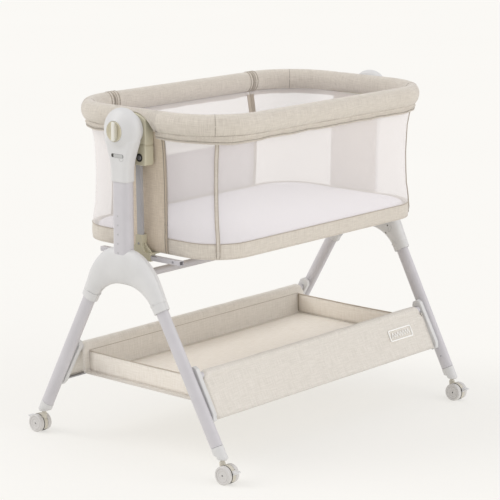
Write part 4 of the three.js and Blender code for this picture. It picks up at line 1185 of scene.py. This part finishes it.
# ---- casters ----------------------------------------------------------------------------------------------------
def make_casters():
    for side, e in SIDES.items():
        for tip, s in ENDS.items():
            i = f"{side}_{tip}"
            flip = (s, e)
            y, z = AXLE_Y, AXLE_Z
            half = [(0, 14.6), (1.5, 14.4), (1.9, 15.6), (3.6, 16.0), (4.4, 15.4), (9.5, 15.2), (10.2, 15.9),
                    (13.4, 16.3), (14.2, 15.6), (15.2, 15.7), (16.2, 16.9), (18.6, 17.0), (19.7, 16.3), (20.4, 14.8),
                    (20.5, 13), (20.5, 7.6), (20.0, 6.4), (18.8, 5.9), (0, 5.9)]
            near = lathe([(r, -h) for r, h in half], FOOT_X, y, z, 56)
            far = lathe(half, FOOT_X, y, z, 56)
            piece(f"twin_wheels_{i}", merged(near, far), WHEEL_PP, f"wheels_{i}",
                  [f"caster_wheels_{i}"], flip)
            # Near-black dimples at the axle: painted shade in the dimples.
            dots = [lathe([(0, 0.3), (2.0, 0.3), (2.1, -0.4), (0, -0.4)], 0, 0, 0, 20) for _ in range(2)]
            bmesh.ops.translate(dots[0], vec=(FOOT_X + 14.6, y, z), verts=dots[0].verts)
            turned(dots[1], (0, 0, 0), "Z", math.pi)
            bmesh.ops.translate(dots[1], vec=(FOOT_X - 14.6, y, z), verts=dots[1].verts)
            piece(f"axle_dimples_{i}", merged(*dots), PAINTED_SHADE_ABS, f"wheels_{i}", (), flip)
            # Hood between and over the wheels, open low on the trailing side, with the stem boss.
            ring = []
            for k in range(41):
                t = math.radians(-38 + 256 * k / 40)
                ring.append((y + 21.2 * math.cos(t), z + 21.2 * math.sin(t)))
            hood = slab(ring, FOOT_X - 5.0, FOOT_X + 5.0, 0.7, 2)
            boss = loft([oval(FOOT_X, FOOT_Y, a, b, height, 28) for a, b, height in
                         ((11, 12, 33), (12.6, 13.6, 41), (12.6, 13.6, 44), (10, 10, 45.4), (9.6, 9.6, 49.7))],
                        cap_start=True, cap_end=True)
            piece(f"caster_hood_{i}", merged(hood, boss), HOOD_ABS, f"caster_{i}",
                  [f"caster_housing_{i}"], flip)
            # A near-black hub between the wheels and a near-black strip inside the hood's rim: painted shade in the gap
            # between hood and wheels.
            hub = lathe([(0, -5.4), (6.5, -5.4), (6.5, 5.4), (0, 5.4)], FOOT_X, y, z, 28)
            arc = [math.radians(a) for a in range(-60, 241, 10)]
            gap = slab([(y + 20.6 * math.cos(t), z + 20.6 * math.sin(t)) for t in arc], FOOT_X - 5.6, FOOT_X + 5.6,
                       0.2, 1)
            piece(f"caster_hub_{i}", merged(hub, gap), PAINTED_SHADE_ABS, f"caster_{i}", (), flip)
            tab = [(y + out, z + up) for out, up in ((19.6, 12.5), (22.6, 12.5), (30, 12.2), (33.6, 11.0), (34, 9.4),
                                                     (31, 8.6), (24, 6.2), (21.9, 2.5), (21.2, 2.5))]
            pedal = slab(tab, FOOT_X - 6.5, FOOT_X + 6.5, 1.0, 3)
            piece(f"brake_tab_{i}", pedal, WHITE_ABS, f"pedal_{i}", [f"brake_pedal_{i}"], flip)


make_basket()
make_casters()


# ---- small hardware and what the frame itself shows -----------------------------------------------------------------
def make_hardware():
    for side, e in SIDES.items():
        for tip, s in ENDS.items():
            i = f"{side}_{tip}"
            low = LEG_LEN - 62
            centre = Vector((APEX_X, low * LEG_Y, APEX_Z + low * LEG_Z))
            x = APEX_X + LEAN * (centre.z - APEX_Z) - 12
            heads = [screw(2.2, x, centre.y + 3, centre.z, (-1, 0, 0)),
                     screw(2.2, 392.8, (APEX_Z - 214) * LEG_Y / -LEG_Z - 3, 214, (-1, 0, 0))]
            piece(f"stand_screws_{i}", merged(*heads), ZINC, "stand", (), (s, e))
    for name in ("inner_post_left", "inner_post_right", "rail_tube", "drop_rail_tube"):
        node = frame["nodes"][name]
        node.data.materials.clear()
        node.data.materials.append(ZINC)


make_hardware()
